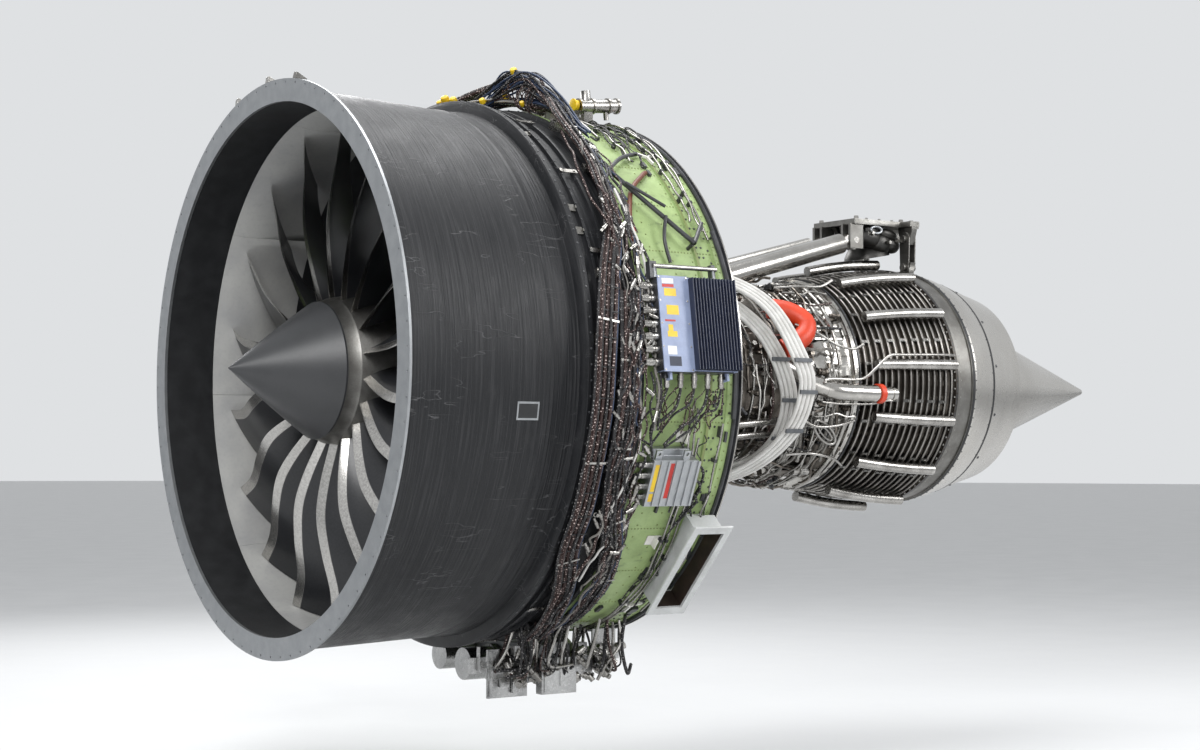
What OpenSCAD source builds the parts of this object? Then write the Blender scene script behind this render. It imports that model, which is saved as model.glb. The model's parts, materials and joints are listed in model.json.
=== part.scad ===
// High-bypass turbofan engine with its cowls off, hung by its front and aft mounts.
// X runs aft along the shaft from the face of the inlet flange, Z is up, and the
// side that carries the control boxes is -Y.

/* [Inlet and fan case] */
// Width of the inlet flange beyond the barrel
flange_w = 32; // [28:1:36]
// Inner radius of the inlet flange and of the inlet duct
inlet_r = 1428.5; // [1426:0.5:1430]
// Thickness of the inlet flange
flange_t = 14; // [10:1:18]
// Number of bolt holes in the inlet flange
flange_holes = 80; // [60:4:96]
// Radius of each bolt hole in the inlet flange
flange_hole_r = 5.5; // [4:0.5:7]
// Distance of the bolt circle from the flange's outer edge
flange_edge = 20; // [18:1:24]
// Radius of the fan case's bore, which the liners sit in
case_bore_r = 1452; // [1450:1:1455]
// Wall of the fan case at the inlet flange
front_wall = 66; // [62:1:68]
// Wall of the fan case at its waist
waist_wall = 14; // [12:1:18]
// Height of the stiffening ring over the bore of the fan case
stiffener_h = 81; // [73:1:86]
// Distance from the inlet flange to the waist seam
waist_x = 864; // [850:1:880]
// Distance from the inlet flange to the stiffening ring
stiffener_x = 1040; // [1030:1:1050]
// Length of the fan case
case_len = 1390; // [1385:1:1395]
// Distance from the inlet flange to the joint between dark and pale liners
liner_joint_x = 309; // [300:1:320]
// Radius of the abradable track around the fan blades
track_r = 1413; // [1412:0.5:1414]
// Gap between a liner and the bore of the fan case
liner_gap = 0.3; // [0.1:0.1:0.5]

/* [Fan] */
// Number of fan blades
blade_count = 18; // [16:1:20]
// Radius of the fan blade tips
tip_r = 1408; // [1400:1:1409]
// Chord of a fan blade at its root
root_chord = 385; // [360:5:400]
// Chord of a fan blade at its tip
tip_chord = 545; // [500:5:560]
// Angle between the chord and the shaft at the blade root
root_stagger = 8; // [6:1:12]
// Angle between the chord and the shaft at the blade tip
tip_stagger = 58; // [54:1:60]
// Thickness of a fan blade at its root
blade_root_t = 36; // [30:1:40]
// Thickness of a fan blade at its tip
blade_tip_t = 10; // [8:1:12]
// Radius of the spinner at its base
spinner_r = 374; // [370:1:378]
// Distance that the spinner's tip stands in front of the inlet flange
spinner_reach = 231; // [220:1:240]
// Position of the spinner's base
spinner_x = 277; // [270:1:285]
// Number of bolts around the base of the spinner
spinner_bolts_n = 36; // [24:2:48]
// Radius of the fan hub at the leading edges
hub_front_r = 398; // [394:1:400]
// Radius of the fan hub at the trailing edges
hub_rear_r = 470; // [460:1:480]
// Position of the hub's front edge
hub_x = 359; // [355:1:365]
// Length of the fan hub
hub_len = 411; // [400:1:420]

/* [Fan frame] */
// Height of the fan frame ring over the bypass duct's wall
frame_h = 70; // [66:1:74]
// Inner radius of the fan frame ring, the wall of the bypass duct
duct_r = 1400; // [1395:1:1405]
// Position of the aft face of the fan frame ring
frame_end = 2010; // [2000:1:2020]
// Outer radius of the aft flange
aft_flange_r = 1491; // [1488:1:1495]
// Length of the aft flange with its groove
aft_flange_len = 42; // [38:1:46]
// Wall thickness of the fan frame ring
frame_wall = 8; // [6:1:10]
// Number of struts that carry the core in the frame
strut_count = 8; // [8:2:12]
// Thickness of a strut
strut_t = 62; // [50:1:70]
// Number of outlet guide vanes
vane_count = 40; // [36:1:44]
// Radius of the inner wall of the bypass duct
core_wall_r = 640; // [635:1:650]

/* [Core] */
// Radius of the splitter lip
splitter_r = 620; // [615:1:625]
// Position of the splitter lip
splitter_x = 930; // [920:1:940]
// Outer radius of the front compressor case
hpc_front_r = 400; // [395:1:405]
// Outer radius of the rear compressor case
hpc_rear_r = 372; // [368:1:376]
// Position of the joint between compressor and combustor cases
combustor_x = 2760; // [2750:1:2770]
// Outer radius of the combustor case
combustor_r = 470; // [465:1:475]
// Position of the joint between combustor and turbine cases
hpt_x = 3110; // [3100:1:3120]
// Outer radius of the high-pressure turbine case
hpt_r = 500; // [495:1:505]
// Position of the front of the turbine centre frame
tcf_x = 3300; // [3290:1:3310]
// Outer radius of the turbine centre frame
tcf_r = 600; // [595:1:605]
// Position of the front flange of the low-pressure turbine case
lpt_x = 3620; // [3610:1:3630]
// Outer radius of the low-pressure turbine case at its front
lpt_front_r = 650; // [645:1:655]
// Outer radius of the low-pressure turbine case at its rear
lpt_rear_r = 738; // [734:1:742]
// Position of the joint between turbine case and rear frame
trf_x = 4360; // [4355:1:4365]
// Wall thickness of the core cases
case_wall = 9; // [7:1:12]
// Number of fuel nozzles
nozzle_count = 22; // [18:1:24]
// Number of cooling rings around the turbine case
ring_count = 15; // [12:1:16]
// Outside diameter of a cooling ring's tube
ring_d = 22; // [18:1:24]
// Number of feed ducts across the cooling rings
feed_count = 14; // [12:1:16]
// Outside diameter of a feed duct
feed_d = 66; // [60:1:70]

/* [Exhaust] */
// Outer radius at the front seam of the exhaust sleeve
seam_front_r = 756; // [752:1:760]
// Position of the front seam of the exhaust sleeve
seam_front_x = 4514; // [4510:1:4518]
// Outer radius at the middle seam
seam_mid_r = 709; // [705:1:713]
// Position of the middle seam
seam_mid_x = 4730; // [4720:1:4740]
// Outer radius of the exhaust rim
rim_r = 624; // [620:1:628]
// Position of the exhaust rim
rim_x = 5056; // [5050:1:5060]
// Wall thickness of the sleeve and plug
sheet_t = 6; // [4:0.5:8]
// Largest radius of the exhaust plug
plug_r = 482; // [470:1:490]
// Position of the plug's tip
plug_tip_x = 6325; // [6300:1:6350]

/* [Mounts and links] */
// Outside diameter of a thrust link tube
link_d = 130; // [120:1:140]
// Radius of the hanger pin holes in the aft mount
hanger_hole_r = 24; // [20:1:28]
// Length of the aft mount's top plate
beam_len = 560; // [550:5:580]
// Width of the aft mount's top plate
beam_w = 400; // [380:5:420]
// Height of the aft mount's top face above the shaft
beam_z = 1068; // [1060:1:1076]
// Spacing of the four bolts on the aft mount along the shaft
mount_pitch_x = 300; // [280:5:320]
// Spacing of the four bolts on the aft mount across the shaft
mount_pitch_y = 260; // [240:5:280]
// Radius of the bolt holes in the mounts
mount_hole_r = 16; // [14:0.5:18]
// Height of the front mount's top face above the shaft
front_mount_z = 1560; // [1550:1:1570]

/* [Controls and pipes] */
// Length of the engine control box along the shaft
control_len = 470; // [450:5:490]
// Height of the engine control box around the case
control_h = 490; // [470:5:510]
// Depth of the engine control box
control_t = 78; // [70:1:90]
// Number of cooling fins on the control box
fin_count = 15; // [12:1:18]
// Height of the cooling fins
fin_h = 34; // [30:1:40]
// Outside diameter of an insulated white pipe
white_d = 27; // [24:1:30]
// Outside diameter of the bleed duct
bleed_d = 104; // [96:1:108]
// Outside diameter of a wiring harness branch
harness_d = 22; // [18:1:26]

/* [Hidden] */

// Facets of large rings, of small round pieces and of swept pipes
ring_fn = 144;
barrel_front_r = case_bore_r + front_wall;
barrel_waist_r = case_bore_r + waist_wall;
stiffener_r = case_bore_r + stiffener_h;
flange_r = barrel_front_r + flange_w;
frame_r = duct_r + frame_h;
small_fn = 32;
pipe_fn = 8;

// Seat clearance between pieces that only touch
seat = 0.3;

// Puts a piece made along Z on the shaft: angle 0 is the top and 90 the -Y side
module axial() rotate([0, 90, 0]) rotate(180) children();

// Places a piece at an angle round the shaft, a radius and a distance aft
module at(phi, r, x) rotate(phi) translate([r, 0, x]) children();

// Turns a closed outline of radius and distance pairs round the shaft
module turned(outline, fn = ring_fn) rotate_extrude($fn = fn) polygon(outline);

// A plain ring between two radii and two distances
module band(r0, r1, x0, x1, fn = ring_fn)
    rotate_extrude($fn = fn) translate([r0, x0]) square([r1 - r0, x1 - x0]);

// A hoop of round tube, whole or part of a turn
module hoop(r, x, d, a0 = 0, a1 = 360, fn = ring_fn)
    rotate(a0) rotate_extrude(angle = a1 - a0, $fn = fn) translate([r, x]) circle(d = d, $fn = small_fn);

// A round bar that stands outwards from a radius
module peg(d, h, fn = small_fn) rotate([0, 90, 0]) cylinder(d = d, h = h, $fn = fn);

// A round bar between two points
module bar(a, b, d, fn = small_fn) {
    v = b - a;
    translate(a) rotate([0, acos(v[2] / norm(v)), atan2(v[1], v[0])]) cylinder(d = d, h = norm(v), $fn = fn);
}

// Point at an angle round the shaft, a radius and a distance aft
function polar(p) = [p[1] * cos(p[0]), p[1] * sin(p[0]), p[2]];
function unit(v) = v / norm(v);

// Smooth curve through the points, with n steps in each span
function curve(p, n) = concat([for (i = [0:len(p) - 2]) for (k = [0:n - 1])
    let (t = k / n, a = p[max(i - 1, 0)], b = p[i], c = p[i + 1], d = p[min(i + 2, len(p) - 1)])
    (2 * b + (c - a) * t + (2 * a - 5 * b + 4 * c - d) * t * t + (3 * b - a - 3 * c + d) * t * t * t) / 2],
    [p[len(p) - 1]]);

// Direction of a path at a point, and a cross direction carried along it
function heading(p, i) = unit(p[min(i + 1, len(p) - 1)] - p[max(i - 1, 0)]);
function first_side(t) = unit(cross(t, abs(t[2]) < 0.8 ? [0, 0, 1] : [1, 0, 0]));
function level(u, t) = unit(u - (u * t) * t);
function sides(p, i, u) = i == len(p) ? [] :
    let (v = level(u, heading(p, i))) concat([v], sides(p, i + 1, v));

// Skins a list of rings of n points each
module skin(points, rings, n) {
    walls = [for (i = [0:rings - 2]) for (k = [0:n - 1]) let (j = (k + 1) % n)
        each [[i * n + k, i * n + n + k, i * n + n + j], [i * n + k, i * n + n + j, i * n + j]]];
    caps = [[for (k = [0:n - 1]) k], [for (k = [n - 1:-1:0]) (rings - 1) * n + k]];
    polyhedron(points, concat(walls, caps));
}

// Closes a row of blade sections, whose first half of points runs up one side and the rest down the other
module blade_skin(points, rings, n) {
    h = (n - 1) / 2;
    walls = [for (i = [0:rings - 2]) for (k = [0:n - 1]) let (a = i * n + k, b = i * n + (k + 1) % n)
        each k < h ? [[a, a + n, b + n], [a, b + n, b]] : [[a, a + n, b], [b, a + n, b + n]]];
    foot = concat([for (k = [0:h - 2]) each [[k, k + 1, n - 2 - k], [k, n - 2 - k, n - 1 - k]]],
        [[h - 1, h, h + 1]]);
    tip = [for (f = foot) [for (k = [2:-1:0]) f[k] + (rings - 1) * n]];
    polyhedron(points, concat(walls, foot, tip));
}

// A round pipe along a path of points
module pipe(path, d, n = pipe_fn) {
    u = sides(path, 0, first_side(heading(path, 0)));
    points = [for (i = [0:len(path) - 1]) for (k = [0:n - 1])
        path[i] + d / 2 * (cos(360 * k / n) * u[i] + sin(360 * k / n) * cross(heading(path, i), u[i]))];
    skin(points, len(path), n);
}

// Straight vane outline: chord along the shaft, bowed to one side, in a few steps along the chord
function vane(chord, bow, t, steps) = concat(
    [for (k = [0:steps]) let (u = k / steps)
        [-chord * u, bow * 4 * u * (1 - u) + t * (0.08 + 1.8 * u * (1 - u))]],
    [for (k = [steps:-1:0]) let (u = k / steps)
        [-chord * u, bow * 4 * u * (1 - u) - t * (0.08 + 1.8 * u * (1 - u))]]);

// A row of straight vanes between two radii
module vane_row(n, r0, r1, x, chord, turn, bow, t, steps = 2)
    for (i = [0:n - 1]) rotate(360 * i / n) translate([r0, 0, x])
        rotate([0, 90, 0]) rotate(turn) linear_extrude(r1 - r0) polygon(vane(chord, bow, t, steps));

// Inlet flange: a flat aluminium ring with a short spigot behind it
module inlet_flange() color("silver") axial() difference() {
    turned([[inlet_r, 0], [flange_r, 0], [flange_r, flange_t], [barrel_front_r - 24, flange_t],
        [barrel_front_r - 30, flange_t + 3], [inlet_r, flange_t + 3]]);
    for (i = [0:flange_holes - 1]) at(360 * (i + 0.5) / flange_holes, flange_r - flange_edge, -1)
        cylinder(r = flange_hole_r, h = flange_t + 2, $fn = small_fn);
}

// Three folded lugs on top of the inlet flange
module flange_brackets() color("gainsboro") axial() for (phi = [-16.5, -2, 10.5])
    at(phi, flange_r + seat, 0) difference() {
        translate([0, 17, 0]) rotate([90, 0, 0]) linear_extrude(34)
            polygon([[0, 0], [34, 6], [34, 12], [4, 70], [0, 70]]);
        translate([4, 14, 6]) rotate([90, 0, 0]) linear_extrude(28)
            polygon([[0, 6], [24, 6], [24, 8], [2, 70], [0, 70]]);
    }

// Fan case: woven composite barrel with stepped stiffening rings towards the rear
module fan_case() color("dimgray") axial() turned(concat(
    [[case_bore_r, flange_t + 3 + seat], [barrel_front_r - 30, flange_t + 3 + seat],
     [barrel_front_r - 24, flange_t + seat], [barrel_front_r, flange_t + seat],
     [barrel_front_r, 62], [barrel_front_r - 18, 130]],
    [for (k = [1:5]) [barrel_front_r - 18 - (barrel_front_r - barrel_waist_r - 22) * k / 5,
        130 + (waist_x - 160) * k / 5]],
    [[barrel_waist_r + 1, waist_x - 14], [barrel_waist_r + 6, waist_x], [barrel_waist_r + 1, waist_x + 14],
     [barrel_waist_r, stiffener_x - 60], [barrel_waist_r + 6, stiffener_x - 24],
     [stiffener_r - 16, stiffener_x - 16], [stiffener_r, stiffener_x - 6], [stiffener_r, stiffener_x + 26],
     [stiffener_r - 28, stiffener_x + 30], [stiffener_r - 36, stiffener_x + 84],
     [stiffener_r - 18, stiffener_x + 88], [stiffener_r - 18, stiffener_x + 104],
     [stiffener_r - 40, stiffener_x + 108], [stiffener_r - 44, stiffener_x + 176],
     [stiffener_r - 24, stiffener_x + 180], [stiffener_r - 24, stiffener_x + 196],
     [stiffener_r - 48, stiffener_x + 200], [stiffener_r - 50, case_len - 34],
     [stiffener_r - 20, case_len - 28], [stiffener_r - 20, case_len], [case_bore_r, case_len]]));

// Metal clips bridging the first two stiffening rings
module case_clips() color("gray") axial() for (k = [0:17]) at(7 + 20 * k, stiffener_r - 18 + seat, 0)
    translate([0, -13, stiffener_x + 89]) {
        cube([5, 26, 110]);
        translate([0, 0, 0]) cube([9, 26, 14]);
        translate([5, 13, 92]) peg(14, 6);
    }

// Black acoustic liner of the inlet
module forward_liner() color("black") axial()
    turned([[inlet_r + 1, flange_t + 3 + seat], [case_bore_r - liner_gap, flange_t + 3 + seat],
        [case_bore_r - liner_gap, liner_joint_x], [inlet_r + 4, liner_joint_x]]);

// Pale panels and abradable track around the fan, in six segments
module track_liner() color("darkgray") axial() difference() {
    turned([[inlet_r + 2, liner_joint_x + seat], [case_bore_r - liner_gap, liner_joint_x + seat],
        [case_bore_r - liner_gap, 820], [track_r + 4, 820], [track_r, 730], [track_r, 405]]);
    for (k = [0:8]) at(-14 + 40 * k, inlet_r - 40, liner_joint_x - 1)
        translate([0, -0.75, 0]) cube([80, 1.5, 520]);
}

// Dark acoustic liner behind the fan
module aft_liner() color("dimgray") axial()
    turned([[track_r + 4, 820 + seat], [case_bore_r - liner_gap, 820 + seat],
        [case_bore_r - liner_gap, case_len], [track_r - 1, case_len], [track_r - 1, 900]]);

// Outlet guide vanes across the bypass duct
module outlet_guide_vanes() color("slategray") axial()
    vane_row(vane_count, core_wall_r + 12 + seat, track_r - 2.9, 1120, 230, -14, 22, 20, 5);

// Fan frame ring: a hollow ring of green primed skin with stiffening ribs
module fan_frame_ring() color("darkseagreen") axial() difference() {
    turned([[duct_r, case_len + seat], [stiffener_r - 20, case_len + seat],
        [stiffener_r - 20, case_len + 22], [frame_r + 4, case_len + 26], [frame_r, case_len + 60],
        [frame_r, 1838], [frame_r + 10, 1840], [frame_r + 10, 1858], [frame_r, 1860], [frame_r, 1960],
        [frame_r + 5, 1962], [frame_r + 5, 1972], [frame_r, 1974], [frame_r, frame_end],
        [duct_r, frame_end]]);
    for (k = [0:1]) turned([[duct_r + frame_wall, case_len + 34 + k * 290],
        [frame_r - frame_wall, case_len + 34 + k * 290], [frame_r - frame_wall, case_len + 304 + k * 290],
        [duct_r + frame_wall, case_len + 304 + k * 290]]);
}

// Hub of the fan frame: hollow ring with the struts of both ducts, cones that carry the front
// bearings, and forks for the thrust links
neck_in = [[478, 1436], [470, 1560], [420, 1740], [330, 1900], [272, 2000], [266, 2046]];
neck_out = [[592, 1436], [588, 1560], [550, 1720], [460, 1880], [408, 1980], [hpc_front_r - 4, 2046]];
module frame_struts() color("gray") axial() {
    difference() {
        turned(concat(neck_out, [[core_wall_r - 40, 2046], [core_wall_r - 26, 2040], [core_wall_r, 1990],
            [core_wall_r, 1436]]));
        turned([[606, 1450], [602, 1566], [566, 1726], [476, 1886], [424, 1986], [420, 2034],
            [core_wall_r - 50, 2034], [core_wall_r - 20, 1890], [core_wall_r - 6, 1600],
            [core_wall_r - 12, 1450]]);
    }
    turned(concat(neck_in, [for (k = [len(neck_in) - 1:-1:0]) neck_in[k] - [10, 0]]));
    vane_row(strut_count, core_wall_r + seat, duct_r - 1.05, 1560, 420, 0, 0, strut_t, 8);
    vane_row(strut_count, 372, 570, 1640, 150, 0, 0, 26);
    turned([[200 + seat, 900], [214, 900], [214, 944], [400, 1430], [470, 1436], [470, 1452], [392, 1446],
        [200 + seat, 954]]);
    turned([[160 + seat, 2002], [172, 2002], [262, 2028], [262, 2044], [172, 2046], [160 + seat, 2046]]);
    for (s = [-1, 1]) for (f = [-1, 1]) difference() {
        translate([link_front[2] - 54, s * link_front[1] + f * (36 + seat) - 10, 2040])
            cube([108, 20, link_front[0] + 46 - 2040]);
        translate([link_front[2], s * link_front[1] - 60, link_front[0]]) rotate([-90, 0, 0])
            cylinder(r = link_pin_r, h = 120, $fn = small_fn);
    }
}

// Grooved aft flange, which takes the fan nozzle's clamp
module aft_flange() color("darkslategray") axial()
    turned([[duct_r, frame_end + seat], [aft_flange_r - 8, frame_end + seat], [aft_flange_r, frame_end + 6],
        [aft_flange_r, frame_end + 12], [aft_flange_r - 14, frame_end + 18],
        [aft_flange_r - 14, frame_end + aft_flange_len - 14], [aft_flange_r, frame_end + aft_flange_len - 10],
        [aft_flange_r, frame_end + aft_flange_len], [duct_r, frame_end + aft_flange_len]]);

// Small three-legged and angle brackets on the frame ring
module frame_brackets() color("whitesmoke") axial() {
    for (phi = [37, 150, 205, 322]) at(phi, frame_r + 10 + seat, 1850) rotate([0, 90, 0])
        for (a = [0, 120, 240]) rotate(a) translate([-6, 0, 0]) cube([12, 70, 16]);
    for (phi = [104, 128, 168, 232, 286, 340]) at(phi, frame_r + seat, 1700) {
        translate([0, -30, -45]) cube([6, 60, 90]);
        translate([0, -30, -3]) cube([46, 60, 6]);
    }
}

// Splitter lip and case around the booster
module splitter_case() color("silver") axial() {
    turned([[splitter_r, splitter_x], [splitter_r + 14, splitter_x + 60], [core_wall_r + 12, 1110],
        [core_wall_r + 12, 1400], [core_wall_r, 1436 - seat], [core_wall_r - 50, 1436 - seat],
        [core_wall_r - 50, 1300], [core_wall_r - 44, 1120], [splitter_r - 6, splitter_x + 60]]);
}

// Stator rows of the booster
booster_tops = [core_wall_r - 40, core_wall_r - 47.5, core_wall_r - 50.4];
module booster_vanes() color("darkgray") axial() for (k = [0:2])
    vane_row(26, 516 - 8 * k, booster_tops[k] + 0.1, 1040 + 126 * k, 46, 12, 6, 6);

// Bore of the compressor case at a distance aft
function hpc_bore(x) = x < 2420 ? hpc_front_r - case_wall - 6 * (x - 2046) / 374 : hpc_rear_r - case_wall;

// Compressor case with its flanges, bleed bands, split line and the stems of the variable vanes
lever_x = [2110, 2190, 2270, 2350];
lever_r = hpc_front_r + 30;
lever_count = 20;
module compressor_case() color("gray") axial() difference() {
    union() {
        turned([[hpc_front_r - case_wall, 2046 + seat], [hpc_front_r + 34, 2046 + seat],
            [hpc_front_r + 34, 2060], [hpc_front_r, 2064], [hpc_front_r - 6, 2400], [hpc_front_r + 26, 2404],
            [hpc_front_r + 26, 2428], [hpc_rear_r + 8, 2432], [hpc_rear_r, 2730], [hpc_rear_r + 34, 2734],
            [hpc_rear_r + 34, combustor_x], [hpc_rear_r - case_wall, combustor_x],
            [hpc_rear_r - case_wall, 2432], [hpc_front_r - 6 - case_wall, 2420]]);
        for (x = lever_x) band(hpc_front_r - 8, hpc_front_r + 9, x - 12, x + 12);
        for (x = [2500, 2600]) band(hpc_rear_r, hpc_rear_r + 16, x - 20, x + 20);
        for (s = [0, 180]) rotate(90 + s) {
            translate([hpc_front_r - 8, -9, 2062]) cube([24, 18, 344]);
            translate([hpc_rear_r - 2, -9, 2430]) cube([34, 18, 306]);
        }
        for (x = lever_x) for (k = [0:lever_count - 1]) at(360 * k / lever_count, hpc_front_r, x)
            peg(12, lever_r - hpc_front_r - seat);
    }
    for (k = [0:23]) at(15 * k + 7.5, hpc_rear_r + 22, 2732)
        cylinder(r = 5, h = 40, $fn = small_fn);
}

// Stator rows of the compressor
module compressor_vanes() color("darkgray") axial() for (k = [0:4])
    vane_row(21, 286 + 6 * k, hpc_bore(2152 + 118 * k) - 0.4 - seat, 2118 + 118 * k, 34, 14, 4, 4);

// Actuating rings of the variable vanes with their levers, which turn together a few degrees
module lever_ring() color("lightgray") axial() {
    for (x = lever_x) band(hpc_front_r + 38, hpc_front_r + 50, x + 22, x + 36);
    for (a = [24, 204, 294]) at(a, hpc_front_r + 50, 2120) translate([0, -12, 0]) cube([14, 24, 268]);
    for (x = lever_x) for (k = [0:lever_count - 1]) at(360 * k / lever_count, lever_r, x - 8)
        translate([0, -5, 0]) cube([10, 10, 42]);
}

// Actuator cylinder that drives the rings, fixed along the case
module ring_actuator() color("silver") axial() {
    for (a = [60, 240]) rotate(a) {
        translate([hpc_front_r + 90, 0, 2080]) cylinder(d = 54, h = 190, $fn = small_fn);
        translate([hpc_front_r + 90, 0, 2270]) cylinder(d = 22, h = 90, $fn = small_fn);
        translate([hpc_front_r + 34 + seat, -16, 2048]) cube([44, 32, 36]);
    }
}

// Combustor case with bosses for the fuel nozzles
module combustor_case() color("darkgray") axial() difference() {
    union() {
        turned([[hpc_rear_r - case_wall, combustor_x + seat], [hpc_rear_r + 34, combustor_x + seat],
            [hpc_rear_r + 34, combustor_x + 24], [hpc_rear_r + 40, combustor_x + 28],
            [combustor_r, combustor_x + 150], [combustor_r, hpt_x - 28], [combustor_r + 34, hpt_x - 26],
            [combustor_r + 34, hpt_x], [combustor_r - case_wall, hpt_x],
            [combustor_r - case_wall, combustor_x + 156], [hpc_rear_r + 26, combustor_x + 40],
            [hpc_rear_r - case_wall, combustor_x + 30]]);
        for (k = [0:nozzle_count - 1]) at(360 * k / nozzle_count, combustor_r - 12, combustor_x + 190)
            peg(58, 24);
    }
    for (k = [0:nozzle_count - 1]) at(360 * k / nozzle_count, combustor_r - 60, combustor_x + 190)
        peg(30, 120);
}

// Ring-shaped flame tube inside the combustor case
module combustor_liner() color("peru") axial() turned([[300, combustor_x + 160], [330, combustor_x + 130],
    [400, combustor_x + 130], [425, combustor_x + 165], [425, hpt_x - 20], [421, hpt_x - 20],
    [421, combustor_x + 168], [396, combustor_x + 134], [334, combustor_x + 134], [304, combustor_x + 163],
    [304, hpt_x - 20], [300, hpt_x - 20]]);

// Fuel nozzles standing in their bosses
module fuel_nozzles() color("lightgray") axial() for (k = [0:nozzle_count - 1])
    at(360 * k / nozzle_count, combustor_r + 12 + seat, combustor_x + 190) {
        peg(52, 12);
        translate([-56.9, 0, 0]) peg(24, 61);
        translate([12, 0, 0]) peg(30, 34);
        translate([30, 0, 0]) cylinder(d = 16, h = 31.5, $fn = small_fn);
    }

// Twin fuel manifold hoops around the nozzles
module fuel_manifold() color("gainsboro") axial() {
    hoop(combustor_r + 52, combustor_x + 232, 20, 2, 358);
    hoop(combustor_r + 52, combustor_x + 150, 20, 2, 358);
    for (k = [1:2:nozzle_count - 1]) at(360 * k / nozzle_count, combustor_r + 52, combustor_x + 155)
        translate([0, 30, 0]) cylinder(d = 10, h = 74, $fn = small_fn);
}

// Case of the high-pressure turbine
module turbine_case_front() color("lightslategray") axial()
    turned([[combustor_r - case_wall, hpt_x + seat], [combustor_r + 34, hpt_x + seat],
        [combustor_r + 34, hpt_x + 22], [hpt_r - 20, hpt_x + 26], [hpt_r, hpt_x + 80],
        [hpt_r + 12, tcf_x - 40], [hpt_r + 44, tcf_x - 26], [hpt_r + 44, tcf_x], [hpt_r - 10, tcf_x],
        [hpt_r + 2, tcf_x - 44], [hpt_r - case_wall, hpt_x + 80], [combustor_r - case_wall, hpt_x + 30]]);

// Turbine centre frame with smooth polished panels and a slotted bracket
module centre_frame() color("silver") axial() {
    turned([[hpt_r - 10, tcf_x + seat], [hpt_r + 44, tcf_x + seat], [hpt_r + 44, tcf_x + 20],
        [tcf_r - 34, tcf_x + 34], [tcf_r, tcf_x + 90], [tcf_r + 18, lpt_x - 40], [tcf_r + 62, lpt_x - 30],
        [tcf_r + 62, lpt_x - seat], [tcf_r - 20, lpt_x - seat], [tcf_r + 6, lpt_x - 44],
        [tcf_r - case_wall, tcf_x + 96], [hpt_r + 30, tcf_x + 40], [hpt_r - 10, tcf_x + 24]]);
    at(120, tcf_r + 2, tcf_x + 100) difference() {
        translate([0, -55, 0]) cube([22, 110, 190]);
        for (z = [30, 110]) hull() for (y = [-24, 24]) translate([-1, y, z + 26]) peg(26, 60);
    }
}

// Nozzle rows of both turbines
module turbine_nozzles() color("tan") axial() {
    vane_row(22, 330, combustor_r - case_wall - seat + 1.4, hpt_x + 34, 50, 30, 8, 9);
    for (k = [0:3]) let (x = lpt_x + 60 + 172 * k)
        vane_row(22, 434 + 13 * k, lpt_outer(x) - case_wall - 0.5 - seat, x, 52, 22, 8, 7);
}

// Case of the low-pressure turbine, a cone with hooks and two bolted flanges
module turbine_case_rear() color("darkgray") axial() difference() {
    turned([[tcf_r - 20, lpt_x], [tcf_r + 62, lpt_x], [tcf_r + 62, lpt_x + 20], [lpt_front_r, lpt_x + 24],
        [lpt_rear_r - 28, 4000], [lpt_rear_r, trf_x - 24], [seam_front_r + 8, trf_x - 22],
        [seam_front_r + 8, trf_x], [lpt_rear_r - 20, trf_x], [lpt_rear_r - case_wall, trf_x - 28],
        [lpt_rear_r - 28 - case_wall, 4000], [lpt_front_r - case_wall, lpt_x + 28],
        [tcf_r - 20, lpt_x + 16]]);
    for (k = [0:59]) at(6 * k + 3, tcf_r + 48, lpt_x - 1) cylinder(r = 5, h = 24, $fn = small_fn);
}

// Outer radius of the turbine case at a distance aft
function lpt_outer(x) = x < 4000
    ? lpt_front_r + (lpt_rear_r - 28 - lpt_front_r) * (x - lpt_x - 24) / (4000 - lpt_x - 24)
    : lpt_rear_r - 28 + 28 * (x - 4000) / (trf_x - 24 - 4000);

// Cooling air rings close around the turbine case
ring_first = lpt_x + 54;
ring_step = (trf_x - 46 - ring_first) / (ring_count - 1);
module cooling_rings() color("lightgray") axial() for (k = [0:ring_count - 1]) {
    x = ring_first + ring_step * k;
    hoop(lpt_outer(x) + ring_d / 2 + 0.5, x, ring_d);
}

// Feed ducts that cross the cooling rings along the case
feed_angle = 360 / feed_count;
feed_x0 = ring_first + 46;
module feed_ducts() color("gainsboro") axial() for (k = [0:feed_count - 1]) rotate(30.5 + feed_angle * k) {
    lift = ring_d + 0.5 + feed_d / 2 + seat;
    a = [lpt_outer(feed_x0) + lift, feed_x0];
    b = [lpt_outer(4000) + lift + 1, 4000];
    c = [lpt_outer(trf_x - 50) + lift, trf_x - 50];
    // Circle through the three points, so that the duct follows the case in one bend
    half = norm(c - a) / 2;
    out = [c[1] - a[1], a[0] - c[0]] / (2 * half);
    sag = (b - a) * out;
    bend_r = (half * half + sag * sag) / (2 * sag);
    hub = (a + c) / 2 - out * (bend_r - sag);
    start = atan2(a[1] - hub[1], a[0] - hub[0]);
    stop = atan2(c[1] - hub[1], c[0] - hub[0]);
    translate([hub[0], 0, hub[1]]) rotate([90, 0, 0]) rotate(start)
        rotate_extrude(angle = stop - start, $fn = 720) translate([bend_r, 0]) circle(d = feed_d, $fn = small_fn);
}

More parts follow.
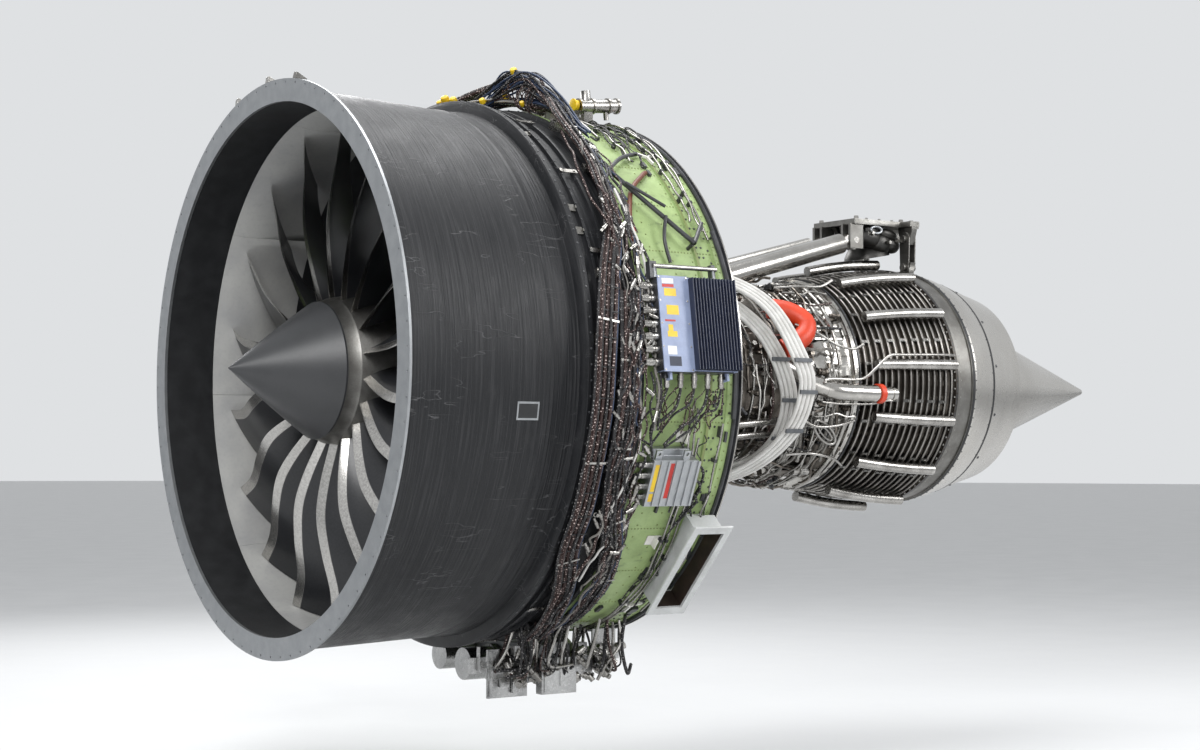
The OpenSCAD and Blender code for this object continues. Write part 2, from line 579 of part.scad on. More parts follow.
// Turbine rear frame: outer ring, struts and hub, with the lugs of the hanger links
hang_x = trf_x + 80;
lug_t = 44;
lug_phi = 16;
lug_r = seam_front_r + 46;
module rear_frame() color("silver") axial() difference() {
    union() {
        turned([[lpt_rear_r - 20, trf_x + seat], [seam_front_r + 8, trf_x + seat],
            [seam_front_r + 8, trf_x + 20], [seam_front_r - 6, trf_x + 24],
            [seam_front_r - 6, seam_front_x - 26], [seam_front_r + 3, seam_front_x - 24],
            [seam_front_r + 3, seam_front_x], [seam_front_r - 26, seam_front_x],
            [seam_front_r - 20, seam_front_x - 34], [seam_front_r - 20, trf_x + 30],
            [lpt_rear_r - 20, trf_x + 26]]);
        turned([[420, trf_x + 10], [500, trf_x + 10], [500, seam_front_x], [420, seam_front_x],
            [420, seam_front_x - 12], [486, seam_front_x - 12], [486, trf_x + 22], [420, trf_x + 22]]);
        vane_row(10, 494, seam_front_r - 18, trf_x + 30, 104, 8, 2, 18);
        turned([[160, trf_x + 60], [424, trf_x + 10], [424, trf_x + 22], [172, trf_x + 72],
            [172, trf_x + 140], [160, trf_x + 140]]);
        for (phi = [-lug_phi, lug_phi]) at(phi, seam_front_r - 12, hang_x - lug_t / 2)
            translate([0, -42, 0]) cube([lug_r - seam_front_r + 12 + 42, 84, lug_t]);
    }
    for (phi = [-lug_phi, lug_phi]) at(phi, lug_r, trf_x) cylinder(r = hanger_hole_r, h = 160,
        $fn = small_fn * 2);
}

// Exhaust sleeve of two smooth rolled shells with a raised seam
module exhaust_sleeve() color("lightgray") axial() {
    turned([[seam_front_r - 4, seam_front_x + seat], [seam_front_r + 3, seam_front_x + seat],
        [seam_front_r + 3, seam_front_x + 14], [seam_front_r - 2, seam_front_x + 18],
        [seam_mid_r + 30, seam_mid_x - 110], [seam_mid_r + 3, seam_mid_x - 6], [seam_mid_r - 5, seam_mid_x - 5],
        [seam_mid_r - 5, seam_mid_x + 5], [seam_mid_r, seam_mid_x + 6], [rim_r + 32, rim_x - 130],
        [rim_r, rim_x], [rim_r - sheet_t, rim_x], [rim_r + 32 - sheet_t, rim_x - 132],
        [seam_mid_r - sheet_t - 4, seam_mid_x + 6], [seam_mid_r - sheet_t - 4, seam_mid_x - 10],
        [seam_mid_r + 30 - sheet_t, seam_mid_x - 112], [seam_front_r - 4 - sheet_t, seam_front_x + 24],
        [seam_front_r - 24, seam_front_x + 20], [seam_front_r - 24, seam_front_x + seat]]);
}

// Exhaust plug: a hollow cone carried on the hub of the rear frame
plug_nose_r = 20;
module exhaust_plug() color("silver") axial() {
    slope = (plug_r - 24 - plug_nose_r) / (plug_tip_x - 12 - rim_x);
    turned([[430, seam_front_x + seat], [480, seam_front_x + seat], [484, seam_front_x + 20],
        [476, seam_front_x + 110], [plug_r - 8, seam_front_x + 220], [plug_r, seam_front_x + 330],
        [plug_r - 4, rim_x - 110], [plug_r - 24, rim_x], [plug_nose_r, plug_tip_x - 12],
        [plug_nose_r * 0.7, plug_tip_x - 4], [0, plug_tip_x], [0, plug_tip_x - 30],
        [plug_r - 24 - sheet_t - slope * 6, rim_x], [plug_r - sheet_t, seam_front_x + 330],
        [476 - sheet_t, seam_front_x + 110], [478 - sheet_t, seam_front_x + 22],
        [430, seam_front_x + 12]]);
}

// Aft mount: a bolted top plate over a forked body that hangs the rear frame
beam_x0 = 4000;
module aft_mount() color("gray") difference() {
    union() {
        translate([beam_x0, -beam_w / 2, beam_z - 34]) cube([beam_len, beam_w, 34]);
        translate([hang_x - 40, -290, beam_z - 34]) cube([80, 580, 34]);
        for (w = [[-40, 36], [20, 40], [76, 36]]) translate([0, w[0], 0]) rotate([90, 0, 0]) linear_extrude(w[1])
            polygon(w[0] == 20 ? [[beam_x0 + 60, beam_z - 30], [beam_x0 + 90, beam_z - 130],
                [beam_x0 + 190, beam_z - 168], [beam_x0 + 380, beam_z - 168], [beam_x0 + 470, beam_z - 110],
                [beam_x0 + 500, beam_z - 30]] : [[beam_x0 + 40, beam_z - 30], [beam_x0 + 110, beam_z - 120],
                [beam_x0 + 230, beam_z - 90], [beam_x0 + 360, beam_z - 150], [beam_x0 + 500, beam_z - 130],
                [beam_x0 + 520, beam_z - 30]]);
        for (s = [-1, 1]) translate([beam_x0 + 165, s * 70, beam_z - 84]) rotate([s * -90, 0, 0])
            cylinder(r = 30, h = 108, $fn = small_fn);
        for (s = [-1, 1]) translate([hang_x - lug_t / 2, s * 222, 0]) rotate([90, 0, 90])
            linear_extrude(lug_t) polygon([[-64, beam_z - 34], [-64, beam_z - 60], [-34, beam_z - 150],
                [34, beam_z - 150], [64, beam_z - 60], [64, beam_z - 34]]);
        for (s = [-1, 1]) for (f = [-1, 1])
            translate([link_rear[0] - 54, s * link_rear[1] + f * (36 + seat) - 10, link_rear[2] - 54])
                cube([108, 20, beam_z - 30 - link_rear[2] + 54]);
    }
    for (s = [-1, 1]) translate([trf_x, s * 222, beam_z - 112]) rotate([0, 90, 0])
        cylinder(r = hanger_hole_r, h = 160, $fn = small_fn * 2);
    for (s = [-1, 1]) translate([link_rear[0], s * link_rear[1] - 60, link_rear[2]]) rotate([-90, 0, 0])
        cylinder(r = link_pin_r, h = 120, $fn = small_fn);
    for (sx = [-1, 1]) for (sy = [-1, 1])
        translate([beam_x0 + beam_len / 2 + sx * mount_pitch_x / 2, sy * mount_pitch_y / 2, beam_z - 160])
            cylinder(r = mount_hole_r, h = 200, $fn = small_fn);
}

// Hanger links with their pins, between aft mount and rear frame
hanger_top = [222, beam_z - 112];
hanger_low = [lug_r * sin(lug_phi), lug_r * cos(lug_phi)];
hanger_t = 8;
module aft_mount_hangers() color("silver") for (s = [-1, 1]) {
    for (f = [-1, 1]) difference() {
        translate([hang_x + f * (lug_t / 2 + seat + hanger_t / 2) - hanger_t / 2, 0, 0]) hull() {
            translate([0, s * hanger_top[0], hanger_top[1]]) rotate([0, 90, 0])
                cylinder(r = 46, h = hanger_t, $fn = small_fn);
            translate([0, s * hanger_low[0], hanger_low[1]]) rotate([0, 90, 0])
                cylinder(r = 40, h = hanger_t, $fn = small_fn);
        }
        for (p = [hanger_top, hanger_low]) translate([trf_x, s * p[0], p[1]]) rotate([0, 90, 0])
            cylinder(r = hanger_hole_r, h = 160, $fn = small_fn * 2);
    }
    for (p = [hanger_top, hanger_low]) translate([trf_x + 30, s * p[0], p[1]]) rotate([0, 90, 0])
        cylinder(r = hanger_hole_r - 0.06, h = 100, $fn = small_fn * 2);
}

// Thrust link: a thick tube with forged eyes, from the fan frame to the aft mount
link_front = [2106, 330, 415];
link_pin_r = 20;
link_rear = [4030, 140, 932];
module thrust_link(s) {
    a = [link_front[0], s * link_front[1], link_front[2]];
    b = [link_rear[0], s * link_rear[1], link_rear[2]];
    v = unit(b - a);
    bar(a + v * 110, b - v * 120, link_d);
    bar(a + v * 20, a + v * 112, 38);
    bar(b - v * 122, b - v * 20, 38);
    for (p = [a, b]) translate(p) rotate([90, 0, 0]) {
        translate([0, 0, -26]) cylinder(r = 52, h = 52, $fn = small_fn);
        translate([0, 0, -46]) cylinder(r = link_pin_r - 0.05, h = 92, $fn = small_fn);
    }
}
module thrust_link_left() color("silver") thrust_link(-1);
module thrust_link_right() color("silver") thrust_link(1);

// Front mount: forged pad and yoke on top of the fan frame
module front_mount() color("gray") difference() {
    union() {
        translate([1600, -210, frame_r - 22]) cube([330, 420, 60]);
        translate([1640, -170, frame_r + 30]) cube([250, 340, front_mount_z - frame_r - 30]);
    }
    axial() cylinder(r = frame_r + 10 + seat, h = 3000, $fn = ring_fn);
    for (sx = [-1, 1]) for (sy = [-1, 1]) translate([1765 + sx * 80, sy * 120, 1480])
        cylinder(r = mount_hole_r, h = 200, $fn = small_fn);
}

// Electronic engine control: flat box on isolators at the side of the fan frame
control_phi = 82;
control_x = 1450;
control_r = frame_r + 50;
module control_box() color("lightsteelblue") axial() at(control_phi, control_r, control_x) {
    foot = sqrt(pow(frame_r, 2) - pow(control_h / 2 - 70 - 23, 2)) + seat;
    translate([0, -control_h / 2, 0]) cube([control_t, control_h, control_len]);
    translate([control_t - 8, -control_h / 2 - 6, -6]) cube([8, control_h + 12, 190]);
    for (y = [-1, 1]) for (z = [90, 350]) translate([foot - control_r, y * (control_h / 2 - 70), z])
        peg(46, control_r - foot + seat);
    for (z = [40, 410]) translate([10, control_h / 2, z]) difference() {
        cube([46, 44, 16]);
        translate([24, 26, -1]) cylinder(d = 18, h = 20, $fn = small_fn);
    }
}

// Finned lid of the control box
module heat_sink() color("midnightblue") axial() at(control_phi, control_r + control_t + seat, control_x + 190) {
    translate([0, -control_h / 2 + 4, 0]) cube([8, control_h - 8, control_len - 190]);
    step = (control_len - 190 - 6) / (fin_count - 1);
    for (k = [0:fin_count - 1]) translate([7, -control_h / 2 + 4, step * k])
        cube([fin_h, control_h - 8, 6]);
}

// Lifting handle above the control box
module box_handle() color("whitesmoke") axial() at(control_phi, control_r + 30, control_x) {
    y = -control_h / 2 - 60;
    bar([20, y, -8], [20, y, 400], 18);
    for (z = [0, 380]) bar([20, y, z], [20, -control_h / 2 - seat, z], 16);
    for (z = [0, 380]) translate([20, y, z]) sphere(d = 20, $fn = small_fn);
}

// Ribbed electronics box below the control box, with its two-eyed hanger
module ribbed_box() color("silver") axial() at(112.5, frame_r + 30, 1462) {
    translate([0, -130, 0]) cube([70, 260, 290]);
    for (z = [0:48:290]) translate([68, -126, z]) cube([10, 252, 14]);
    translate([-30 + seat, -168, 20]) cube([36, 40, 240]);
    for (z = [40, 220]) translate([40, -150, z]) difference() {
        translate([0, -26, -20]) cube([14, 46, 40]);
        translate([-1, -6, 0]) peg(18, 30);
    }
    for (y = [-90, 90]) for (z = [40, 250]) translate([-31.5, y, z]) peg(30, 32);
}

// Rectangular outlet duct with a flat flange, open right through
scoop_phi = 132.5;
module duct_scoop() color("gainsboro") axial() at(scoop_phi, 0, 0) difference() {
    union() {
        translate([frame_r - 70, -290, 1838]) cube([188, 580, 190]);
        translate([frame_r + 118, -330, 1806]) cube([14, 660, 254]);
    }
    translate([frame_r - 170, -282, 1846]) cube([400, 564, 174]);
    translate([0, 0, 1700]) cylinder(r = frame_r + 10 + seat, h = frame_end - 1700 + 4, $fn = ring_fn);
    translate([0, 0, 1950]) cylinder(r = aft_flange_r + seat, h = 120, $fn = ring_fn);
}

// Accessory gearbox housing under the fan case
gearbox_z = -frame_r - 230;
module accessory_gearbox() color("darkgray") {
    difference() {
        translate([1440, -420, gearbox_z]) cube([230, 840, 190]);
        axial() cylinder(r = frame_r + 45, h = 1800, $fn = ring_fn);
    }
    for (y = [-330, 330]) translate([1500, y - 30, gearbox_z + 140]) difference() {
        cube([110, 60, 150]);
        translate([-1500, 30 - y, -gearbox_z - 140]) axial()
            cylinder(r = frame_r + seat, h = 1800, $fn = ring_fn);
    }
    translate([1555, 0, gearbox_z - 60]) cylinder(r = 110, h = 70, $fn = small_fn * 2);
}

// Pumps, starter, generator, filter plates and boxes on the gearbox
module gearbox_units() color("silver") {
    translate([1440 - seat, -260, gearbox_z + 90]) rotate([0, -90, 0]) {
        cylinder(r = 82, h = 60, $fn = small_fn * 2);
        translate([0, 0, 60]) cylinder(r = 68, h = 130, $fn = small_fn * 2);
    }
    translate([1440 - seat, 20, gearbox_z + 60]) rotate([0, -90, 0]) {
        cylinder(r = 105, h = 40, $fn = small_fn * 2);
        translate([0, 0, 40]) cylinder(r = 92, h = 170, $fn = small_fn * 2);
    }
    translate([1440 - seat, 290, gearbox_z + 90]) rotate([0, -90, 0]) cylinder(r = 84, h = 210, $fn = small_fn * 2);
    translate([1670 + seat, -280, gearbox_z + 90]) rotate([0, 90, 0]) {
        cylinder(r = 86, h = 120, $fn = small_fn * 2);
        translate([0, 0, 120]) cylinder(r = 60, h = 110, $fn = small_fn * 2);
    }
    translate([1670 + seat, 0, gearbox_z + 70]) rotate([0, 90, 0]) cylinder(r = 110, h = 240, $fn = small_fn * 2);
    translate([1670 + seat, 280, gearbox_z + 90]) rotate([0, 90, 0]) cylinder(r = 78, h = 200, $fn = small_fn * 2);
    translate([1180, -330, gearbox_z - 100]) cube([260 - seat, 14, 270]);
    translate([1060, -328, gearbox_z + 40]) cube([110, 12, 90]);
    translate([1160, -328, gearbox_z + 70]) cube([24, 12, 30]);
    translate([1440, -420 - seat - 60, gearbox_z - 80]) cube([230, 60, 200]);
    translate([1670 + seat, -420, gearbox_z + 10]) cube([150, 120, 110]);
}

// Oil tank strapped to the far side of the fan case
module oil_tank() color("lightgray") axial() at(268, 0, 0) {
    translate([stiffener_r + 92 + seat, 0, stiffener_x + 10]) rotate([90, 0, 0]) translate([0, 0, -260]) {
        cylinder(r = 92, h = 520, $fn = small_fn * 2);
        for (z = [0, 520]) translate([0, 0, z]) scale([1, 1, 0.35]) sphere(r = 92, $fn = small_fn * 2);
        for (z = [80, 400]) translate([0, 0, z]) cylinder(r = 96, h = 30, $fn = small_fn * 2);
    }
}

// Two bundles of white insulated pipes that sweep down round the core
outer_route = [[50, 584, 2060], [50, 590, 2100], [39, 690, 2320], [41, 780, 2640], [56, 772, 2930], [82, 755, 3088],
    [96, 750, 3130], [114, 745, 3075], [134, 720, 2940], [151, 690, 2740], [163, 630, 2420],
    [166, 588, 2100], [166, 584, 2060]];
inner_route = [[66, 584, 2060], [66, 588, 2100], [54, 640, 2340], [46, 680, 2650], [61, 660, 2880], [80, 645, 3010],
    [101, 650, 3085], [122, 650, 3075], [140, 650, 2970], [149, 640, 2760], [152, 610, 2420],
    [152, 588, 2100], [152, 584, 2060]];
// A route's points moved sideways, across the route and along the case
function beside(route, s) = let (p = [for (q = route) polar(q)]) [for (i = [0:len(p) - 1])
    p[i] + s * unit(cross(unit([p[i][0], p[i][1], 0]), heading(p, i)))];
module white_pipes() color("white") axial() {
    for (k = [0:3]) pipe(curve(beside(outer_route, (white_d + 5) * (k - 1.5)), 2), white_d, 6);
    for (k = [0:3]) pipe(curve(beside(inner_route, (white_d + 5) * (k - 1.5)), 2), white_d, 6);
}

// Grey clamps that hold the white pipes together
module pipe_clamps() color("gray") axial() for (r = [outer_route, inner_route]) for (i = [5, 6, 7])
    at(r[i][0], r[i][1] + white_d / 2 + 0.4, r[i][2] - 66) translate([0, -12, 0]) cube([11, 24, 132]);

// Large bleed duct along the side of the core with its joint ring
bleed_r = 712;
module bleed_duct() color("silver") axial() {
    pipe(curve([for (p = [[80, 560, 3070], [86, 580, 3170], [92, 630, 3280], [95.5, 700, 3400],
        [96, bleed_r + 12, 3560], [96, bleed_r + 34, 3720]]) polar(p)], 3), bleed_d, 12);
    at(96, bleed_r + 36, 3720) cylinder(d = bleed_d - 20, h = 116, $fn = small_fn);
    at(95.5, core_skin(3420) + seat, 3400) peg(40, bleed_r - core_skin(3420) - bleed_d / 2 - 12);
    at(96, bleed_r + 36, 3690) cylinder(d = bleed_d + 16, h = 36, $fn = small_fn);
}

// Moulded orange blanking cap on the stub of a duct
module orange_cap() color("orangered") axial()
    pipe(curve([for (p = [[45, 612, 3090], [50, 645, 3190], [58, 668, 3262], [65, 664, 3240], [70, 640, 3160],
        [72.7, 604, 3090]]) polar(p)], 3), 126, 12);

// Pipes, drains and struts close around the core
function core_skin(x) = x > tcf_x ? tcf_r + 0.1 + 18 * (x - tcf_x - 90) / (lpt_x - tcf_x - 130) :
    abs(x - 2500) < 30 || abs(x - 2600) < 30 ? hpc_rear_r + 16 : hpc_rear_r + 8 * (2740 - x) / 298;
module core_post(phi, r1, x, d = 16) {
    r0 = max(core_skin(x), core_skin(x + d / 2)) + seat;
    at(phi, r0, x) peg(d, r1 - r0);
}
module core_pipes() color("silver") axial() {
    for (p = [[118, 0], [126, 26]]) bar(polar([p[0], 596, 2720]), polar([p[0] - 4, 590, 3160 + p[1]]), 44);
    for (k = [0:4]) hoop(520 + 6 * k, 2500 + 50 * k, 24, 54 + 10 * k, 170 - 8 * k);
    for (k = [0:3]) hoop(540 + 6 * k, 2500 + 50 * k, 20, 190 + 10 * k, 310 - 9 * k);
    for (k = [0:4]) core_post(110, 520 + 6 * k, 2500 + 50 * k);
    for (k = [0:3]) core_post(250, 540 + 6 * k, 2500 + 50 * k);
    for (p = [[652, 3480, 26, 18, 82], [646, 3440, 20, 104, 172], [668, 3540, 30, 106, 168],
        [650, 3500, 22, 190, 330], [672, 3560, 26, 200, 320]]) {
        hoop(p[0], p[1], p[2], p[3], p[4]);
        core_post((p[3] + p[4]) / 2, p[0], p[1]);
    }
    for (k = [0:9]) at(24 + 36 * k, 452 + 6 * (k % 3), 2460) cylinder(d = 26, h = 250, $fn = small_fn);
    for (k = [0:9]) core_post(24 + 36 * k, 452 + 6 * (k % 3), 2550);
    for (phi = [115, 123.2]) at(phi, combustor_r + seat, 3050) peg(20, 591 - combustor_r - seat);
    for (p = [[148, 644, 3350, 60, 120], [214, 644, 3340, 54, 160], [306, 644, 3340, 54, 160]]) {
        at(p[0], p[1], p[2]) cylinder(d = p[3], h = p[4], $fn = small_fn);
        at(p[0], p[1], p[2] + p[4] * 0.4) cylinder(d = p[3] + 18, h = 14, $fn = small_fn);
        core_post(p[0], p[1], p[2] + p[4] * 0.7, 26);
    }
}

// Wiring harness branches round the rear of the fan case
harness_a = [[-16, 1566, 1180], [-4, 1640, 1350], [8, 1690, 1470], [18, 1640, 1440], [30, 1585, 1360],
    [46, 1560, 1345], [60, 1556, 1300], [72, 1560, 1190], [85, 1566, 1120], [100, 1568, 1100],
    [116, 1566, 1100], [127, 1560, 1110], [138, 1556, 1210], [150, 1556, 1290], [159, 1556, 1345]];
harness_b = [[76, 1572, 1290], [93, 1566, 1262], [101, 1562, 1255], [110, 1562, 1250], [119, 1562, 1285],
    [127, 1556, 1375], [136, 1546, 1440], [146, 1524, 1470], [154, 1508, 1490], [160, 1506, 1500]];
module wiring_harness() color("saddlebrown") axial() {
    for (k = [0:4]) pipe(curve(beside(harness_a, (harness_d + 3) * (k - 2)), 2), harness_d, 6);
    for (k = [0:4]) pipe(curve(beside(harness_b, (harness_d + 3) * (k - 2)), 2), harness_d, 6);
}

// Clamp blocks that carry the harness off the raised bands of the case
band_front = stiffener_x + 88;
band_mid = stiffener_x + 180;
band_rear = case_len - 28;
function covers(x, band) = x - 58 < band + 16 && x + 58 > band;
function band_top(x) = covers(x, band_front) ? stiffener_r - 18 :
    x - 58 < case_len + 22 && x + 58 > band_rear ? stiffener_r - 20 : x > case_len ? frame_r + 4 :
    stiffener_r - 24;
module harness_clamp(route, i) {
    p = route[i];
    x0 = max(p[2] - 58, stiffener_x + 32);
    r0 = band_top(p[2]) + seat;
    r1 = p[1] - harness_d / 2 - 9;
    at(p[0], r0, x0) translate([0, -23, 0]) cube([r1 - r0, 46, p[2] + 58 - x0]);
    for (k = [0:4]) let (q = beside(route, (harness_d + 3) * (k - 2))[i]) rotate(atan2(q[1], q[0]))
        translate([r1 - 3, -4, q[2] - 6]) cube([norm([q[0], q[1]]) - harness_d / 2 - 1.2 - r1 + 3, 8, 12]);
}
module harness_clamps() color("silver") axial() {
    for (i = [4, 5, 7, 8, 10, 12, 14]) harness_clamp(harness_a, i);
    for (i = [1, 3, 5]) harness_clamp(harness_b, i);
}

// Plug connectors at the side of the control boxes
module connectors() color("gainsboro") axial() {
    for (k = [0:6]) at(control_phi, control_r + 34, control_x - seat) translate([0, -200 + 66 * k, 0])
        rotate([180, 0, 0]) {
            cylinder(d = 40, h = 34, $fn = small_fn);
            translate([0, 0, 34]) cylinder(d = 30, h = 36, $fn = small_fn);
        }
    for (k = [0:3]) at(112.5, frame_r + 64, 1462 - seat) translate([0, -90 + 60 * k, 0]) rotate([180, 0, 0]) {
        cylinder(d = 36, h = 30, $fn = small_fn);
        translate([0, 0, 30]) cylinder(d = 26, h = 34, $fn = small_fn);
    }
}

// Braced rods and a hose across the upper side of the fan frame
module frame_rods() color("dimgray") axial() {
    bar(polar([46, frame_r + 60, 1450]), polar([64, frame_r + 60, 1815]), 26);
    for (p = [[46, 1456], [64, 1811]]) at(p[0], frame_r + 1, p[1]) peg(22, 45.8 - seat);
    pipe(curve([for (p = [[43, frame_r + 10.2, 1756], [45, frame_r + 25, 1700], [50, frame_r + 18, 1570],
        [58, frame_r + 26, 1470], [64, frame_r + 40, 1430]]) polar(p)], 3), 22, 8);
    pipe(curve([for (p = [[60, frame_r + 30, 1990], [70, frame_r + 42, 1985], [80, frame_r + 46, 1975],
        [90, frame_r + 44, 1980], [100, frame_r + 38, 1990]]) polar(p)], 3), 26, 8);
    for (p = [[61, 17.6], [99, 24.8]]) at(p[0], frame_r + seat, 1989) peg(14, p[1] - seat);
}

// Start air valve lying on top of the frame, with its blanking plug
module start_valve() color("silver") {
    difference() {
        translate([1800, -350, 1400]) cube([60, 40, 130]);
        axial() cylinder(r = frame_r + 10 + seat, h = 3000, $fn = ring_fn);
    }
    translate([1770, -330, 1545]) rotate([0, 84, 0]) {
    cylinder(d = 78, h = 270, $fn = small_fn);
    for (z = [0, 90, 200, 262]) translate([0, 0, z]) cylinder(d = 94, h = 12, $fn = small_fn);
    translate([-90, 0, 60]) rotate([0, 90, 0]) cylinder(d = 56, h = 60, $fn = small_fn);
    translate([20, 0, 190]) rotate([0, 90, 0]) cylinder(d = 30, h = 60, $fn = small_fn);
    }
}

// Main shaft bearings: outer races fixed in the frames
module shaft_bearings() color("lightgray") axial() {
    band(152, 200, 905, 950);
    band(130.05, 160, 2006, 2042);
    band(132.05, 160 - seat, trf_x + 90, trf_x + 130);
}

// Spinner: composite cone whose sides bow slightly
spinner_len = spinner_x + spinner_reach;
spinner_bow = (0.79 * spinner_len - spinner_r) / (spinner_len * spinner_len);
module spinner() color("dimgray") axial() {
    turned(concat([[0, -spinner_reach]],
        [for (k = [1:14]) let (s = spinner_len * k / 14) [0.79 * s - spinner_bow * s * s, s - spinner_reach]],
        [[spinner_r, spinner_x + 10], [spinner_r - 12, spinner_x + 10], [spinner_r - 12, spinner_x],
        [0, 40 - spinner_reach]]));
    for (k = [0:spinner_bolts_n - 1]) at(360 * k / spinner_bolts_n, spinner_r - 16, spinner_x - 14)
        translate([4, 0, 0]) peg(12, 18);
}

// Fan disk with its hub ring and blade platforms
module fan_disk() color("silver") axial() turned([[152, hub_x - 40], [spinner_r - 60, spinner_x + 10 + seat],
    [spinner_r, spinner_x + 10 + seat], [hub_front_r - 2, hub_x - 4], [hub_front_r, hub_x],
    [hub_rear_r, hub_x + hub_len], [hub_rear_r - 30, hub_x + hub_len], [hub_rear_r - 60, hub_x + hub_len - 40],
    [300, hub_x + 300], [190, hub_x + 280], [152, hub_x + 420]]);

// Fan blades: wide, swept and twisted, with the chord turning from nearly axial to steep
blade_stations = [380, 450, 540, 650, 780, 920, 1080, 1240, tip_r];
edge_x = [[380, 366], [400, 364], [600, 329], [800, 315], [1000, 345], [1200, 392], [1400, 411]];
edge_phi = [[380, -0.6], [400, 0], [500, 2.2], [600, 3.8], [700, 4.6], [800, 4.65], [1000, 3.5], [1200, 2.55],
    [1300, 2.8], [1400, 3.5]];
first_blade_phi = -1.3;
// Side and place along the chord of each point of a blade section
section_steps = [[1, 1], [0.7, 1], [0.36, 1], [0.08, 1], [0, 0], [0.08, -1], [0.36, -1], [0.7, -1],
    [1, -1]];
function span(r) = (r - 400) / (tip_r - 400);
function blade_chord(r) = root_chord + (tip_chord - root_chord) * sin(90 * max(span(r), 0));
function blade_stagger(r) = root_stagger + (tip_stagger - root_stagger) * sin(90 * max(span(r), 0));
function blade_t(r) = blade_root_t + (blade_tip_t - blade_root_t) * sqrt(max(span(r), 0));
function blade_bow(r) = 0.09 - 0.06 * max(span(r), 0);
function blade_point(r, s) = let (c = blade_chord(r), g = blade_stagger(r), u = s[0],
    rise = c * blade_bow(r) * 4 * u * (1 - u) + s[1] * blade_t(r) / 2 * (0.1 + 3.6 * u * (1 - u)),
    z = lookup(r, edge_x) + c * u * cos(g) - rise * sin(g),
    phi = lookup(r, edge_phi) + (-c * u * sin(g) - rise * cos(g)) / r * 180 / PI)
    [r * cos(phi), r * sin(phi), z];
module fan_blades() color("dimgray") axial() for (k = [0:blade_count - 1])
    rotate(first_blade_phi + 360 * k / blade_count)
        blade_skin([for (r = blade_stations) for (s = section_steps) blade_point(r, s)], len(blade_stations),
            len(section_steps));

// Low-pressure rotor: shaft, booster drum with its rows, and turbine disks
module low_rotor() color("lightgray") axial() {
    turned([[60, 420], [151.95, 420], [151.95, 1000], [120, 1040], [95, 1100], [95, 4300], [132, 4330],
        [132, 4500], [60, 4500]], 96);
    turned([[140, 820], [440, 790], [470, 960], [505, 980], [484, 1400], [470, 1400], [490, 990],
        [455, 980], [425, 810], [140, 840]]);
    for (k = [0:2]) vane_row(24, 494 - 6 * k, 586, 976 + 126 * k, 46, -24, 6, 6);
    turned([[92, 3990], [330, 3960], [400, 3700], [425, 3680], [470, 4320], [455, 4320], [415, 3700],
        [345, 3975], [320, 3990], [92, 4010]]);
    for (k = [0:3]) let (x = lpt_x + 132 + 172 * k)
        vane_row(26, 424 + 12 * k, lpt_outer(x) - case_wall - 8, x, 44, -28, 7, 7);
}

// High-pressure rotor: compressor drum with its rows, shaft and turbine disk
module high_rotor() color("silver") axial() {
    turned([[110, 2000], [130, 2000], [130, 2060], [260, 2080], [300, 2700], [288, 2700], [250, 2096],
        [140, 2080], [122, 2740], [150, 2760], [200, 3150], [180, 3150], [130, 2780], [110, 2760]], 96);
    for (k = [0:4]) vane_row(24, 250 + 8.5 * k, hpc_bore(2110 + 118 * k) - 4, 2076 + 118 * k, 34, -32, 4, 4);
    turned([[112, 3140], [200, 3130], [210, 3190], [326, 3190], [326, 3240], [205, 3240], [195, 3210],
        [112, 3200]], 96);
    vane_row(28, 322, combustor_r - case_wall - 4, 3192, 44, -34, 8, 8);
}

inlet_flange();
flange_brackets();
fan_case();
case_clips();
forward_liner();
track_liner();
aft_liner();
outlet_guide_vanes();
fan_frame_ring();
frame_struts();
aft_flange();
frame_brackets();
splitter_case();
booster_vanes();
compressor_case();
compressor_vanes();
lever_ring();
ring_actuator();
combustor_case();
combustor_liner();
fuel_nozzles();
fuel_manifold();
turbine_case_front();
centre_frame();
turbine_nozzles();
turbine_case_rear();
cooling_rings();
feed_ducts();
rear_frame();
exhaust_sleeve();
exhaust_plug();
aft_mount();
aft_mount_hangers();
thrust_link_left();
thrust_link_right();
front_mount();
control_box();
heat_sink();
box_handle();
ribbed_box();
duct_scoop();
accessory_gearbox();
gearbox_units();
oil_tank();
white_pipes();
pipe_clamps();
bleed_duct();
orange_cap();
core_pipes();
wiring_harness();
harness_clamps();
connectors();
frame_rods();
start_valve();
shaft_bearings();
spinner();
fan_disk();
fan_blades();
low_rotor();
high_rotor();
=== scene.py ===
"""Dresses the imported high-bypass turbofan engine: the materials of every node, and the fine pieces that the
solids leave out, such as braided cables, fasteners, blade edges and the soft creases of the composite case."""

import json
import math

import bmesh
import bpy
import numpy as np
from mathutils import Matrix, Vector


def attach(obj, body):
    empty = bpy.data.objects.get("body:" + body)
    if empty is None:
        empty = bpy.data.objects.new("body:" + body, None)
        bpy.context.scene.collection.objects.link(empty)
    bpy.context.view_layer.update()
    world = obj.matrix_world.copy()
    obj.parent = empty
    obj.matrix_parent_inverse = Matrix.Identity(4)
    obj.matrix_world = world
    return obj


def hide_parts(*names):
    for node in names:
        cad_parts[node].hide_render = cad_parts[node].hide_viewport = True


bl_info = {
    "name": "Turbofan engine dressing",
    "version": (1, 0, 0),
    "blender": (4, 5, 0),
    "location": "View3D > Sidebar > Engine",
    "description": "Builds the finish and the fine pieces of a turbofan engine with its cowls off",
    "category": "Object",
}

